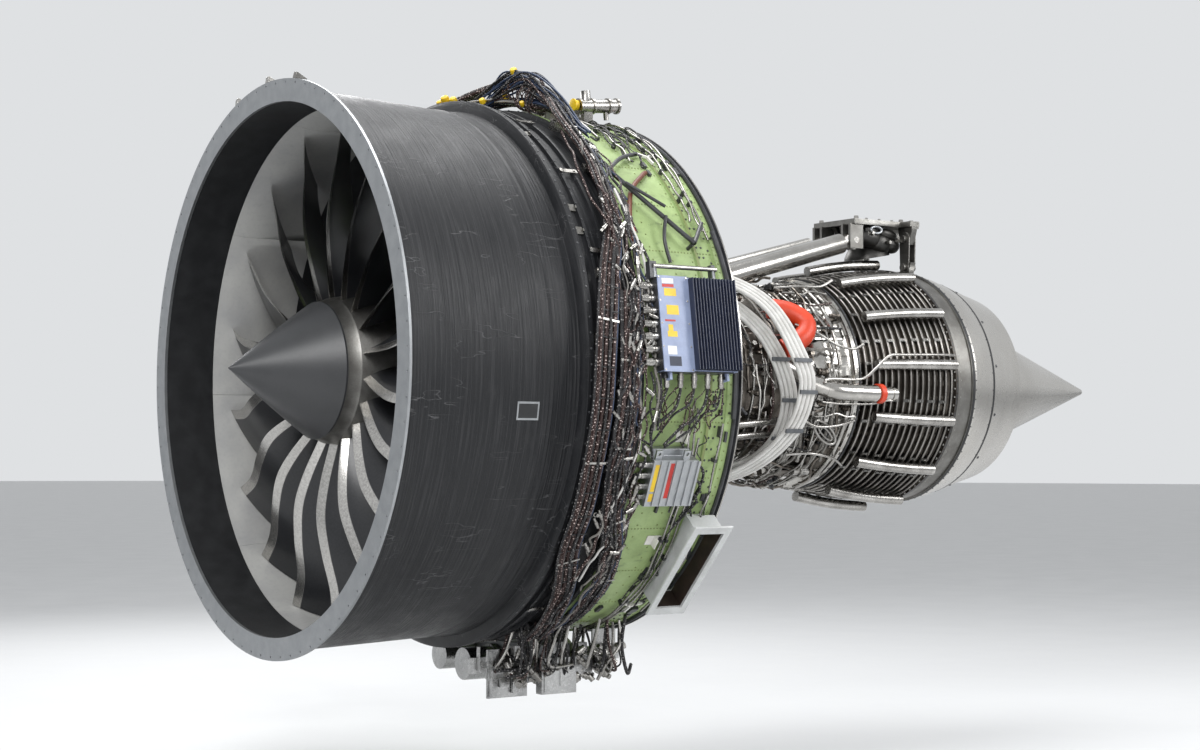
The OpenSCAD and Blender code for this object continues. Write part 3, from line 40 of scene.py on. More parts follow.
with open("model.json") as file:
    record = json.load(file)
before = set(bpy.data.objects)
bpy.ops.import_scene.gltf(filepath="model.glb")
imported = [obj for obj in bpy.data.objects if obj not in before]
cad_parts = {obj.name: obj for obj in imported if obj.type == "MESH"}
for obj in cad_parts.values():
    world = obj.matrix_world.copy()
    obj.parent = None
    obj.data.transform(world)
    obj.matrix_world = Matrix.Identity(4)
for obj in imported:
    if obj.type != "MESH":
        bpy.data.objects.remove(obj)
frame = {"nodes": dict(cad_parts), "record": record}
NODES = frame["nodes"]
MM = 0.001
AFT, FORE = np.array([1.0, 0, 0]), np.array([-1.0, 0, 0])


# Colours and node helper

def linear(code):
    """Turns an sRGB hex colour into the linear colour of a shader socket, with alpha 1."""
    parts = [int(code[i:i + 2], 16) / 255 for i in (1, 3, 5)]
    return tuple(p / 12.92 if p <= 0.04045 else ((p + 0.055) / 1.055) ** 2.4 for p in parts) + (1.0,)


def add_node(tree, kind, settings=None, links=None):
    """Adds one node, sets its fields and its sockets, and links its inputs."""
    node = tree.nodes.new(kind)
    for key, value in (settings or {}).items():
        if isinstance(key, str) and hasattr(node, key) and key not in node.inputs:
            setattr(node, key, value)
        else:
            node.inputs[key].default_value = value
    for key, socket in (links or {}).items():
        tree.links.new(socket, node.inputs[key])
    return node


def new_finish(name):
    """A material with an empty node tree and its principled shader."""
    material = bpy.data.materials.new(name)
    material.use_nodes = True
    tree = material.node_tree
    tree.nodes.clear()
    shader = add_node(tree, "ShaderNodeBsdfPrincipled")
    out = add_node(tree, "ShaderNodeOutputMaterial")
    tree.links.new(shader.outputs[0], out.inputs[0])
    return material, tree, shader


def place_of(tree, squeeze=(1, 1, 1)):
    """Object coordinates in metres, squeezed along the axes where a pattern is longer one way."""
    where = add_node(tree, "ShaderNodeTexCoord")
    return add_node(tree, "ShaderNodeMapping", {"Scale": squeeze}, {"Vector": where.outputs["Object"]}).outputs[0]


def ramp(tree, factor, stops):
    """A colour ramp between (position, hex or grey value) stops."""
    node = add_node(tree, "ShaderNodeValToRGB", None, {"Fac": factor})
    cells = node.color_ramp.elements
    while len(cells) < len(stops):
        cells.new(0.5)
    for cell, (spot, value) in zip(cells, stops):
        cell.position = spot
        cell.color = linear(value) if isinstance(value, str) else (value, value, value, 1)
    return node.outputs[0]


def scaled(tree, socket, factor):
    """A value times a number or another value."""
    node = add_node(tree, "ShaderNodeMath", {"operation": "MULTIPLY"}, {0: socket})
    if isinstance(factor, bpy.types.NodeSocket):
        tree.links.new(factor, node.inputs[1])
    else:
        node.inputs[1].default_value = factor
    return node.outputs[0]


def mottle(tree, size, squeeze=(1, 1, 1), detail=4.0, rough=0.55):
    """Cloudy noise whose blots are about size metres across."""
    return add_node(tree, "ShaderNodeTexNoise", {"Scale": 1 / size, "Detail": detail, "Roughness": rough},
                    {"Vector": place_of(tree, squeeze)}).outputs["Fac"]


def mixed(tree, factor, a, b, mode="MIX"):
    """Blends two colours, each a socket or a hex value, by a factor that is a socket or a number."""
    node = add_node(tree, "ShaderNodeMix", {"data_type": "RGBA", "blend_type": mode})
    for slot, value in ((0, factor), (6, a), (7, b)):
        if isinstance(value, bpy.types.NodeSocket):
            tree.links.new(value, node.inputs[slot])
        else:
            node.inputs[slot].default_value = linear(value) if isinstance(value, str) else value
    return node.outputs[2]


def bumped(tree, height, depth, normal=None):
    """Bump of a real depth in metres, on top of an earlier one where given."""
    links = {"Height": height}
    if normal is not None:
        links["Normal"] = normal
    return add_node(tree, "ShaderNodeBump", {"Strength": 1.0, "Distance": depth}, links).outputs[0]


def worn_metal(name, bright, dull, grain=0.012, rough=(0.22, 0.42), depth=0.0004, squeeze=(1, 1, 1), metallic=1.0):
    """Bare metal: two tones in blots, a finer grain in its roughness, and a shallow bump."""
    material, tree, shader = new_finish(name)
    broad = mottle(tree, grain * 14, squeeze)
    fine = mottle(tree, grain, squeeze, 6.0, 0.65)
    tone = mixed(tree, ramp(tree, broad, [(0.34, 0.25), (0.66, 0.85)]), dull, bright)
    tone = mixed(tree, ramp(tree, fine, [(0.3, 0.0), (0.75, 0.55)]), tone, dull)
    tree.links.new(tone, shader.inputs["Base Color"])
    tree.links.new(ramp(tree, fine, [(0.25, rough[0]), (0.8, rough[1])]), shader.inputs["Roughness"])
    tree.links.new(bumped(tree, fine, depth), shader.inputs["Normal"])
    shader.inputs["Metallic"].default_value = metallic
    return material


def coated(name, clean, soiled, grain=0.01, rough=(0.35, 0.55), depth=0.0003, dirt=(0.55, 0.8), squeeze=(1, 1, 1)):
    """Paint, primer, rubber or moulding: its colour with soft soiling, and a fine texture."""
    material, tree, shader = new_finish(name)
    broad = mottle(tree, grain * 16, squeeze)
    fine = mottle(tree, grain, squeeze, 5.0, 0.6)
    tone = mixed(tree, ramp(tree, broad, [(dirt[0] - 0.15, 0.0), (dirt[1], 0.8)]), clean, soiled)
    tone = mixed(tree, ramp(tree, fine, [(0.5, 0.0), (0.85, 0.35)]), tone, soiled)
    tree.links.new(tone, shader.inputs["Base Color"])
    tree.links.new(ramp(tree, fine, [(0.25, rough[0]), (0.8, rough[1])]), shader.inputs["Roughness"])
    tree.links.new(bumped(tree, fine, depth), shader.inputs["Normal"])
    return material


def sheared(tree, period, width, axis="X"):
    """Narrow lines across one axis every period metres: near 1 on a line and 0 between the lines."""
    where = add_node(tree, "ShaderNodeTexCoord").outputs["Object"]
    split = add_node(tree, "ShaderNodeSeparateXYZ", None, {0: where}).outputs[axis]
    turns = scaled(tree, split, 1 / period)
    part = add_node(tree, "ShaderNodeMath", {"operation": "FRACT"}, {0: turns}).outputs[0]
    away = add_node(tree, "ShaderNodeMath", {"operation": "SUBTRACT", 1: 0.5}, {0: part}).outputs[0]
    near = add_node(tree, "ShaderNodeMath", {"operation": "ABSOLUTE"}, {0: away}).outputs[0]
    return add_node(tree, "ShaderNodeMath", {"operation": "LESS_THAN", 1: width / period / 2}, {0: near}).outputs[0]


FINISHES = {}

# Bare metals: name, bright tone, dull tone, grain in metres, roughness range, bump in metres, squeeze
METALS = (
    # Machined aluminium of flanges, brackets and handles: pale, satin, with fine turning marks
    ("machined_aluminium", "#aeb0b2", "#979a9d", 0.005, (0.34, 0.52), 0.0002),
    # Bright stainless steel of tubes, clamps and small units: light, fairly glossy
    ("bright_steel", "#c6c4c0", "#75726e", 0.008, (0.18, 0.4), 0.0003),
    # Cast and machined aluminium of the gearbox and units
    ("cast_aluminium", "#a5a6a7", "#7c7e81", 0.005, (0.4, 0.6), 0.0004),
    # Nickel alloy sheet and castings of the hot end, dulled by heat, with faint straw and brown tints
    ("hot_metal", "#8d867e", "#4a4540", 0.010, (0.26, 0.5), 0.0004),
    # Steel cases of the compressor, machined
    ("case_metal", "#858482", "#474644", 0.010, (0.28, 0.48), 0.0003),
    # Dark scaled forging of the mount body
    ("dark_forging", "#5b5a58", "#2f2e2d", 0.008, (0.34, 0.54), 0.0006),
    # Forged and blasted steel of mounts and frames: mid grey, soft gloss
    ("frame_metal", "#8e8d8a", "#62605c", 0.006, (0.34, 0.54), 0.0004),
    # Vanes and blades of the inner rows, milled
    ("vane_metal", "#9b9da0", "#5f6164", 0.012, (0.28, 0.45), 0.0002),
    # Polished tube and sheet, such as the bleed duct and thrust links, with faint hand marks
    ("polished_metal", "#c9c7c3", "#918e89", 0.014, (0.14, 0.3), 0.0002),
    # Rolled titanium sheet of the sleeve and plug: satin, grain running round the part
    ("sleeve_metal", "#c9c7c3", "#b4b1ac", 0.030, (0.24, 0.34), 0.00008, (1.5, 1, 1)),
    # Steel strip of the cooling rings, formed and welded, browned a little by heat
    ("ring_steel", "#aaa7a2", "#5c5956", 0.012, (0.24, 0.44), 0.0003),
    # Bright sheet and foil of the units below the case
    ("foil_sheet", "#c9c9c8", "#8c8c8c", 0.02, (0.2, 0.4), 0.0012),
    # Turbine case under the cooling rings, dark brown-grey: a painted shade that makes the gaps between the rings
    # read dark
    ("dark_case", "#57524c", "#292624", 0.012, (0.3, 0.5), 0.0004),
)

# Coats, rubbers and mouldings: name, clean tone, soiled tone, grain, roughness range, bump, reach of the dirt
COATS = (
    # Black anodised and sealed aluminium of the aft flange and rods
    ("dark_anodised", "#26272a", "#4b4c4f", 0.008, (0.28, 0.46), 0.0002),
    # Pale panels of the fan track, moulded and filled, soft gloss
    ("pale_liner", "#b9b9b6", "#97979a", 0.02, (0.3, 0.45), 0.0002),
    # Black acoustic liner, fine perforated skin
    ("black_liner", "#17181a", "#2b2c2e", 0.006, (0.4, 0.6), 0.0003),
    # White enamel of small brackets
    ("white_enamel", "#e4e3de", "#b8b5ac", 0.006, (0.3, 0.45), 0.0002),
    # Blue-grey paint of the control box, baked enamel with a soft gloss
    ("box_paint", "#8d99b6", "#6f7a95", 0.006, (0.32, 0.46), 0.0002),
    # Blue-black anodised cooling fins
    ("fin_paint", "#1d2336", "#2e3549", 0.006, (0.4, 0.55), 0.0002),
    # Pale grey paint of the duct flange and tank
    ("grey_paint", "#c6c8c8", "#a3a4a2", 0.008, (0.34, 0.5), 0.0002),
    # Silicone and glass sleeve over the white pipes: matte with faint grey handling marks
    ("white_sleeve", "#d5d4d1", "#a8a5a1", 0.007, (0.45, 0.6), 0.0004),
    # Grey cushioned clamps
    ("clamp_grey", "#5c5f63", "#3d3f42", 0.005, (0.5, 0.7), 0.0003),
    # Orange silicone cap, moulded, slightly waxy
    ("orange_rubber", "#cb3d1c", "#9c2d0f", 0.008, (0.38, 0.5), 0.0003),
    # Yellow moulded blanking plugs
    ("yellow_plastic", "#dfbb20", "#bb9412", 0.006, (0.35, 0.5), 0.0002),
    # Red moulded end caps
    ("red_plastic", "#b8271d", "#8c1b14", 0.006, (0.35, 0.5), 0.0002),
    # Olive chromate film on the band round the frame ring
    ("olive_band", "#7f8a54", "#5d663f", 0.008, (0.4, 0.55), 0.0002),
    # Brown rubber of the oil hose
    ("brown_rubber", "#6b3a28", "#4a2619", 0.006, (0.4, 0.55), 0.0002),
    # Dark sealing hose and rubber gaskets; also the sheets inside the outlet duct, where this near-black is a
    # painted shade
    ("dark_rubber", "#2a211d", "#45372f", 0.005, (0.45, 0.65), 0.0003),
    # Blue wire sleeves
    ("blue_sleeve", "#26354f", "#1a2539", 0.005, (0.4, 0.55), 0.0002),
    # Spinner: satin dark grey coat over composite, nearly even
    ("spinner_coat", "#3a3b3d", "#2d2e30", 0.01, (0.34, 0.44), 0.0002, (0.6, 0.9)),
)

# Braided sleeves: name, thread, fleck where the tracer threads cross, pitch in metres
BRAIDS = (
    # Dark brown glass braid with pale flecks
    ("brown_braid", "#29130f", "#d6c4be", 0.013),
    # Black polymer braid with grey flecks
    ("black_braid", "#121114", "#9c9998", 0.014),
    # Stainless wire braid of hoses
    ("steel_braid", "#7d7a75", "#312f2d", 0.010),
)


def build_finishes():
    """Makes each finish of the engine once, named for its real material."""
    for rows, make in ((METALS, worn_metal), (COATS, coated), (BRAIDS, braid)):
        for name, *values in rows:
            FINISHES[name] = make(name, *values)
    FINISHES["composite"] = composite_skin()
    FINISHES["green_primer"] = green_primer()
    FINISHES["blade_composite"] = blade_composite()


def composite_skin():
    """Carbon and resin skin of the fan case: black, satin, with tape lines about 60 mm apart round the case,
    fine wrinkles between them, and a few long creases along the shaft where the cloth folded. The raised
    parts of the wrinkles and the creases are painted paler, a painted sheen and a painted highlight."""
    material, tree, shader = new_finish("composite")
    ply = mottle(tree, 0.010, (5, 1, 1), 5.0, 0.6)
    wrinkle = mottle(tree, 0.060, (5.0, 0.14, 0.14), 3.0, 0.55)
    fold = mottle(tree, 0.30, (0.5, 2.6, 2.6), 3.0, 0.55)
    blots = mottle(tree, 0.30, (1, 1, 1), 2.0, 0.5)
    scuff = mottle(tree, 0.16, (1.5, 1, 1), 6.0, 0.62)
    tape = sheared(tree, 0.058, 0.003)
    # A crease is where the fold noise crosses its middle, kept to some patches
    line = ramp(tree, fold, [(0.0, 0.0), (0.493, 0.0), (0.5, 1.0), (0.507, 0.0)])
    crease = scaled(tree, line, ramp(tree, blots, [(0.5, 0.0), (0.6, 1.0)]))
    tone = mixed(tree, ramp(tree, ply, [(0.3, 0.0), (0.8, 1.0)]), "#101113", "#222326")
    tone = mixed(tree, ramp(tree, scuff, [(0.6, 0.0), (0.8, 0.4)]), tone, "#3a3a3c")
    # Painted sheen: the raised parts of the wrinkles are painted paler, standing in for the light they catch
    tone = mixed(tree, ramp(tree, wrinkle, [(0.5, 0.0), (0.66, 0.4)]), tone, "#38383a")
    tone = mixed(tree, scaled(tree, tape, 0.5), tone, "#343537")
    # Painted highlight: the creases are painted pale, standing in for the light along the folds
    tone = mixed(tree, scaled(tree, crease, 0.45), tone, "#6a6a6c")
    tree.links.new(tone, shader.inputs["Base Color"])
    shader.inputs["Specular IOR Level"].default_value = 0.3
    tree.links.new(ramp(tree, scuff, [(0.3, 0.36), (0.7, 0.54)]), shader.inputs["Roughness"])
    normal = bumped(tree, wrinkle, 0.0050)
    normal = bumped(tree, crease, 0.0015, normal)
    normal = bumped(tree, tape, 0.0004, normal)
    normal = bumped(tree, ply, 0.0006, normal)
    tree.links.new(normal, shader.inputs["Normal"])
    return material


def green_primer():
    """Yellow-green chromate primer of the frame ring: eggshell, with darker handling marks and thin patches."""
    material, tree, shader = new_finish("green_primer")
    broad = mottle(tree, 0.12, (1, 1, 1), 5.0, 0.6)
    fine = mottle(tree, 0.008, (1, 1, 1), 5.0, 0.6)
    tone = mixed(tree, ramp(tree, broad, [(0.35, 0.0), (0.7, 1.0)]), "#9bb178", "#869a64")
    tone = mixed(tree, ramp(tree, fine, [(0.55, 0.0), (0.8, 0.4)]), tone, "#55633e")
    stain = mottle(tree, 0.05, (0.5, 1, 1), 5.0, 0.65)
    tone = mixed(tree, ramp(tree, stain, [(0.58, 0.0), (0.74, 0.5)]), tone, "#3f4a30")
    tree.links.new(tone, shader.inputs["Base Color"])
    tree.links.new(ramp(tree, broad, [(0.3, 0.38), (0.7, 0.52)]), shader.inputs["Roughness"])
    tree.links.new(bumped(tree, fine, 0.0003), shader.inputs["Normal"])
    return material


def blade_composite():
    """Fan blade: black lacquered carbon, and a bright titanium strip along the leading edge. The strip follows
    the blade's own attribute edge, the share of the chord from the leading edge."""
    material, tree, shader = new_finish("blade_composite")
    edge = add_node(tree, "ShaderNodeAttribute", {"attribute_name": "edge"}).outputs["Fac"]
    strip = ramp(tree, edge, [(0.0, 1.0), (0.105, 1.0), (0.112, 0.0)])
    fine = mottle(tree, 0.012, (1, 1, 1), 5.0, 0.6)
    body = mixed(tree, ramp(tree, fine, [(0.3, 0.0), (0.8, 1.0)]), "#1b1c1f", "#2a2b2e")
    metal = mixed(tree, ramp(tree, fine, [(0.3, 0.0), (0.8, 1.0)]), "#c9c7c3", "#9d9b98")
    tree.links.new(mixed(tree, strip, body, metal), shader.inputs["Base Color"])
    tree.links.new(strip, shader.inputs["Metallic"])
    tree.links.new(ramp(tree, strip, [(0.0, 0.3), (1.0, 0.26)]), shader.inputs["Roughness"])
    tree.links.new(bumped(tree, fine, 0.0002), shader.inputs["Normal"])
    return material


def braid(name, thread, fleck, pitch):
    """Braided cable sleeve: slanted threads that follow the cable's own UV map, u along it in metres and v round
    it, with light flecks where the tracer threads cross, every pitch metres."""
    material, tree, shader = new_finish(name)
    where = add_node(tree, "ShaderNodeTexCoord").outputs["UV"]
    grid = add_node(tree, "ShaderNodeMapping", {"Scale": (1 / pitch, 3.0, 1.0), "Rotation": (0, 0, 0.7)},
                    {"Vector": where}).outputs[0]
    weave = add_node(tree, "ShaderNodeTexChecker", {"Scale": 2.0}, {"Vector": grid}).outputs["Fac"]
    spot = add_node(tree, "ShaderNodeTexVoronoi", {"Scale": 1.0, "Randomness": 0.4}, {"Vector": grid}).outputs[0]
    tone = mixed(tree, ramp(tree, spot, [(0.2, 0.9), (0.3, 0.0)]), thread, fleck)
    tree.links.new(tone, shader.inputs["Base Color"])
    shader.inputs["Roughness"].default_value = 0.55
    tree.links.new(bumped(tree, weave, 0.0008), shader.inputs["Normal"])
    return material


# Mesh helpers: every piece is an array surface

def put_piece(name, points, faces, finish, body="root", replaces=(), smooth=40.0, uv=None, values=None, weld=False):
    """Puts arrays of points and face groups into a mesh. Each group is an array of faces with the same number of
    corners. uv is one pair for each point, values a dict of point attributes."""
    mesh = bpy.data.meshes.new(name)
    groups = [np.asarray(g, np.int64) for g in faces if len(g)]
    mesh.vertices.add(len(points))
    mesh.vertices.foreach_set("co", np.ascontiguousarray(points, np.float32).ravel())
    corners = np.concatenate([g.ravel() for g in groups])
    sizes = np.concatenate([np.full(len(g), g.shape[1]) for g in groups])
    mesh.loops.add(len(corners))
    mesh.loops.foreach_set("vertex_index", corners.astype(np.int32))
    mesh.polygons.add(len(sizes))
    mesh.polygons.foreach_set("loop_start", np.concatenate([[0], np.cumsum(sizes)[:-1]]).astype(np.int32))
    mesh.update(calc_edges=True)
    if uv is not None:
        mesh.uv_layers.new(name="UVMap").data.foreach_set("uv", np.asarray(uv, np.float32)[corners].ravel())
    for key, value in (values or {}).items():
        mesh.attributes.new(key, "FLOAT", "POINT").data.foreach_set("value", np.asarray(value, np.float32))
    mesh.validate()
    if weld:
        shell = bmesh.new()
        shell.from_mesh(mesh)
        bmesh.ops.remove_doubles(shell, verts=shell.verts, dist=1e-6)
        shell.to_mesh(mesh)
        shell.free()
    mesh.shade_smooth()
    mesh.set_sharp_from_angle(angle=math.radians(smooth))
    piece = bpy.data.objects.new(name, mesh)
    bpy.context.scene.collection.objects.link(piece)
    mesh.materials.append(FINISHES[finish])
    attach(piece, body)
    if replaces:
        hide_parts(*replaces)
    return piece


def grid_faces(rows, cols, wrap_rows=False, wrap_cols=False, start=0):
    """Quads between the neighbours of a grid of rows by cols points, closed round either way."""
    i = np.arange(rows if wrap_rows else rows - 1)[:, None]
    j = np.arange(cols if wrap_cols else cols - 1)[None, :]
    a, b = i * cols + j, i * cols + (j + 1) % cols
    c, d = ((i + 1) % rows) * cols + (j + 1) % cols, ((i + 1) % rows) * cols + j
    return start + np.stack([a, b, c, d], -1).reshape(-1, 4)


def polar(phi, r, x):
    """Point at an angle in degrees round the shaft, a radius and a distance aft, in metres."""
    a = np.radians(phi)
    return np.stack(np.broadcast_arrays(x, -r * np.sin(a), r * np.cos(a)), -1)


def turned(name, outline, finish, node=None, body="root", steps=360, sharp=30.0):
    """A closed outline of radius and distance pairs in mm, turned round the shaft."""
    line = np.asarray(outline, float) * MM
    r, x = line[:, 0][:, None], line[:, 1][:, None]
    phi = np.linspace(0, 360, steps, endpoint=False)[None, :]
    points = polar(phi, r, np.broadcast_to(x, (len(line), steps))).reshape(-1, 3)
    area = np.sum(line[:, 0] * np.roll(line[:, 1], -1) - np.roll(line[:, 0], -1) * line[:, 1])
    faces = grid_faces(len(line), steps, wrap_rows=True, wrap_cols=True)
    if area > 0:
        faces = faces[:, ::-1]
    return put_piece(name, points, [faces], finish, body, [node] if node else (), sharp, weld=True)


def smooth_line(points, steps):
    """Smooth curve through the points (Catmull-Rom), steps points in each span, as one array."""
    p = np.asarray(points, float)
    a, b = np.concatenate([p[:1], p[:-2]]), p[:-1]
    c, d = p[1:], np.concatenate([p[2:], p[-1:]])
    t = (np.arange(steps) / steps)[None, :, None]
    a, b, c, d = (q[:, None, :] for q in (a, b, c, d))
    curve = (2 * b + (c - a) * t + (2 * a - 5 * b + 4 * c - d) * t ** 2 + (3 * b - a - 3 * c + d) * t ** 3) / 2
    return np.concatenate([curve.reshape(-1, p.shape[1]), p[-1:]])


def route(points, steps=6):
    """Smooth path in space from rows of angle in degrees, radius in mm and distance in mm."""
    p = np.asarray(points, float)
    phi = np.radians(p[:, 0])
    flat = np.stack([p[:, 2], -p[:, 1] * np.sin(phi), p[:, 1] * np.cos(phi)], -1) * MM
    return smooth_line(flat, steps)


def sweep(paths, radius, sides=10, swell=None):
    """Round tubes along paths of the same length: (tubes, points, 3). The first side faces away from the shaft.
    swell scales the radius along the path. Gives points, faces, and uv with u the length in metres."""
    paths = np.asarray(paths, float)
    if paths.ndim == 2:
        paths = paths[None]
    n, m = paths.shape[:2]
    ahead = np.gradient(paths, axis=1)
    ahead /= np.linalg.norm(ahead, axis=2, keepdims=True) + 1e-12
    out = paths * [0, 1, 1] + [1e-4, 2e-4, 3e-4]
    out = out - np.sum(out * ahead, 2, keepdims=True) * ahead
    size = np.linalg.norm(out, axis=2, keepdims=True)
    other = np.array([1.0, 0, 0]) - ahead[..., :1] * ahead
    out = np.where(size > 0.02, out / (size + 1e-12), other / (np.linalg.norm(other, axis=2, keepdims=True) + 1e-9))
    side = np.cross(ahead, out)
    turn = np.linspace(0, 2 * np.pi, sides, endpoint=False)
    radius = np.broadcast_to(np.asarray(radius, float).reshape(-1, 1), (n, m)).copy()
    if swell is not None:
        radius = radius * swell
    ring = np.cos(turn)[:, None] * out[:, :, None] + np.sin(turn)[:, None] * side[:, :, None]
    points = paths[:, :, None] + radius[:, :, None, None] * ring
    steps = np.linalg.norm(np.diff(paths, axis=1), axis=2)
    along = np.concatenate([np.zeros((n, 1)), np.cumsum(steps, 1)], 1)
    uv = np.stack(np.broadcast_arrays(along[:, :, None], (turn / 2 / np.pi)[None, None]), -1).reshape(-1, 2)
    one = grid_faces(m, sides, wrap_cols=True)
    start = (np.arange(n) * m * sides)[:, None, None]
    walls = (one[None] + start).reshape(-1, 4)
    near = (np.arange(sides)[::-1][None] + start[:, 0]).reshape(n, sides)
    far = (np.arange(sides)[None] + (m - 1) * sides + start[:, 0]).reshape(n, sides)
    return points.reshape(-1, 3), [walls, near, far], uv


def joined(parts):
    """Puts several parts together: their points, faces and uv in one."""
    points, faces, uv, count = [], [], [], 0
    for p, f, u in parts:
        points.append(p)
        faces += [g + count for g in f]
        uv.append(u if u is not None else np.zeros((len(p), 2)))
        count += len(p)
    return np.concatenate(points), faces, np.concatenate(uv)


def put_parts(name, parts, finish, body="root", replaces=(), smooth=40.0, mapped=False):
    """Puts several parts together as one piece, with their uv where the finish follows it."""
    points, faces, uv = joined(parts)
    return put_piece(name, points, faces, finish, body, replaces, smooth, uv if mapped else None)


def studs(places, outward, radius, height, sides=8, dome=0.72):
    """Small fastener heads: a wall and a slightly smaller top, standing along outward."""
    places, outward = np.asarray(places, float).reshape(-1, 3), np.asarray(outward, float).reshape(-1, 3)
    outward = np.broadcast_to(outward, places.shape)
    outward = outward / np.linalg.norm(outward, axis=1, keepdims=True)
    other = np.where(np.abs(outward[:, :1]) < 0.8, [[1.0, 0, 0]], [[0, 1.0, 0]])
    u = np.cross(outward, other)
    u /= np.linalg.norm(u, axis=1, keepdims=True)
    v = np.cross(outward, u)
    turn = np.linspace(0, 2 * np.pi, sides, endpoint=False)
    ring = np.cos(turn)[None, :, None] * u[:, None] + np.sin(turn)[None, :, None] * v[:, None]
    levels = [(1.0, -0.3), (1.0, 0.4), (dome * 0.92, 1.0)]
    layers = [places[:, None] + radius * k * ring + height * h * outward[:, None] for k, h in levels]
    points = np.stack(layers, 1)
    n = len(places)
    one = grid_faces(3, sides, wrap_cols=True)
    start = (np.arange(n) * 3 * sides)[:, None, None]
    walls = (one[None] + start).reshape(-1, 4)
    top = np.arange(sides)[None] + 2 * sides + start[:, 0]
    low = np.arange(sides)[::-1][None] + start[:, 0]
    return points.reshape(-1, 3), [walls, low, top], None


def blocks(corner, u, v, w):
    """Boxes from a corner and three edge vectors, each an array of one row for each box."""
    corner, u, v, w = (np.asarray(a, float).reshape(-1, 3) for a in (corner, u, v, w))
    n = max(len(a) for a in (corner, u, v, w))
    corner, u, v, w = (np.broadcast_to(a, (n, 3)) for a in (corner, u, v, w))
    steps = np.array([[0, 0, 0], [1, 0, 0], [1, 1, 0], [0, 1, 0], [0, 0, 1], [1, 0, 1], [1, 1, 1], [0, 1, 1]])
    points = corner[:, None] + sum(steps[None, :, k, None] * e[:, None] for k, e in enumerate((u, v, w)))
    quads = np.array([[0, 3, 2, 1], [4, 5, 6, 7], [0, 1, 5, 4], [1, 2, 6, 5], [2, 3, 7, 6], [3, 0, 4, 7]])
    flip = np.sum(np.cross(u, v) * w, 1) < 0
    faces = quads[None] + (np.arange(n) * 8)[:, None, None]
    faces = np.where(flip[:, None, None], faces[:, :, ::-1], faces)
    return points.reshape(-1, 3), [faces.reshape(-1, 4)], None


def softened(name, node, finish, width=0.0, sharp=32.0, body="root"):
    """A merged copy of a solid with smooth round faces and, where asked, small rounded edges."""
    source = NODES[node]
    mesh = source.data.copy()
    mesh.name = name
    shell = bmesh.new()
    shell.from_mesh(mesh)
    bmesh.ops.remove_doubles(shell, verts=shell.verts, dist=2e-5)
    bmesh.ops.dissolve_limit(shell, angle_limit=math.radians(0.5), verts=shell.verts, edges=shell.edges)
    shell.to_mesh(mesh)
    shell.free()
    mesh.shade_smooth()
    mesh.set_sharp_from_angle(angle=math.radians(sharp))
    piece = bpy.data.objects.new(name, mesh)
    bpy.context.scene.collection.objects.link(piece)
    mesh.materials.clear()
    mesh.materials.append(FINISHES[finish])
    if width:
        edge = piece.modifiers.new("edges", "BEVEL")
        edge.width = width
        edge.segments = 2
        edge.limit_method = "ANGLE"
        edge.angle_limit = math.radians(40)
        edge.use_clamp_overlap = True
        edge.harden_normals = False
    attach(piece, body)
    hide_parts(node)
    return piece


def place(phi, r, x, local):
    """Points given as outwards, round (towards larger angles) and aft in mm, from a place on the engine."""
    local = np.asarray(local, float)
    a = math.radians(phi)
    out = np.array([0, -math.sin(a), math.cos(a)])
    side = np.array([0, -math.cos(a), -math.sin(a)])
    base = out * r + AFT * x
    return (base + local[..., :1] * out + local[..., 1:2] * side + local[..., 2:3] * AFT) * MM


def slabs(phi, r, x, rows):
    """Boxes on the engine from rows of corner and size (outwards, round, aft) in mm."""
    rows = np.asarray(rows, float)
    zero = place(phi, r, x, np.zeros(3))
    corner = place(phi, r, x, rows[:, :3])
    u, v, w = (place(phi, r, x, np.eye(3)[k] * rows[:, 3 + k:4 + k]) - zero for k in range(3))
    return blocks(corner, u, v, w)


def patch(phi0, phi1, r0, r1, x0, x1, thick=2.0, bead=2.5, steps=18):
    """A curved sheet panel in mm on a cone from radius r0 to r1: its outer side rises by a bead along its edges,
    a sine hump of the distance to the nearest edge."""
    u, v = np.meshgrid(np.linspace(0, 1, steps), np.linspace(0, 1, steps), indexing="ij")
    near = np.minimum(np.minimum(u, 1 - u) * abs(phi1 - phi0) * r0 / 57.3, np.minimum(v, 1 - v) * abs(x1 - x0))
    lift = bead * np.sin(np.pi * np.clip(near / 22, 0, 1)) ** 2
    phi = phi0 + (phi1 - phi0) * u
    x = x0 + (x1 - x0) * v
    r = r0 + (r1 - r0) * v
    top = polar(phi, (r + thick + lift) * MM, x * MM).reshape(-1, 3)
    low = polar(phi, r * MM, x * MM).reshape(-1, 3)
    n = steps * steps
    face = grid_faces(steps, steps)
    edge = np.concatenate([np.arange(steps), np.arange(1, steps) * steps + steps - 1,
                           (steps - 1) * steps + np.arange(steps - 2, -1, -1), np.arange(steps - 2, 0, -1) * steps])
    after = np.roll(edge, -1)
    wall = np.stack([edge, after, after + n, edge + n], -1)
    faces = [face, face[:, ::-1] + n, wall[:, ::-1]]
    centre = top.mean(0)
    a, b, c = (top[face[0, k]] for k in (0, 1, 2))
    if np.dot(np.cross(b - a, c - b), centre * [0, 1, 1]) < 0:
        faces = [f[:, ::-1] for f in faces]
    return np.concatenate([top, low]), faces, None


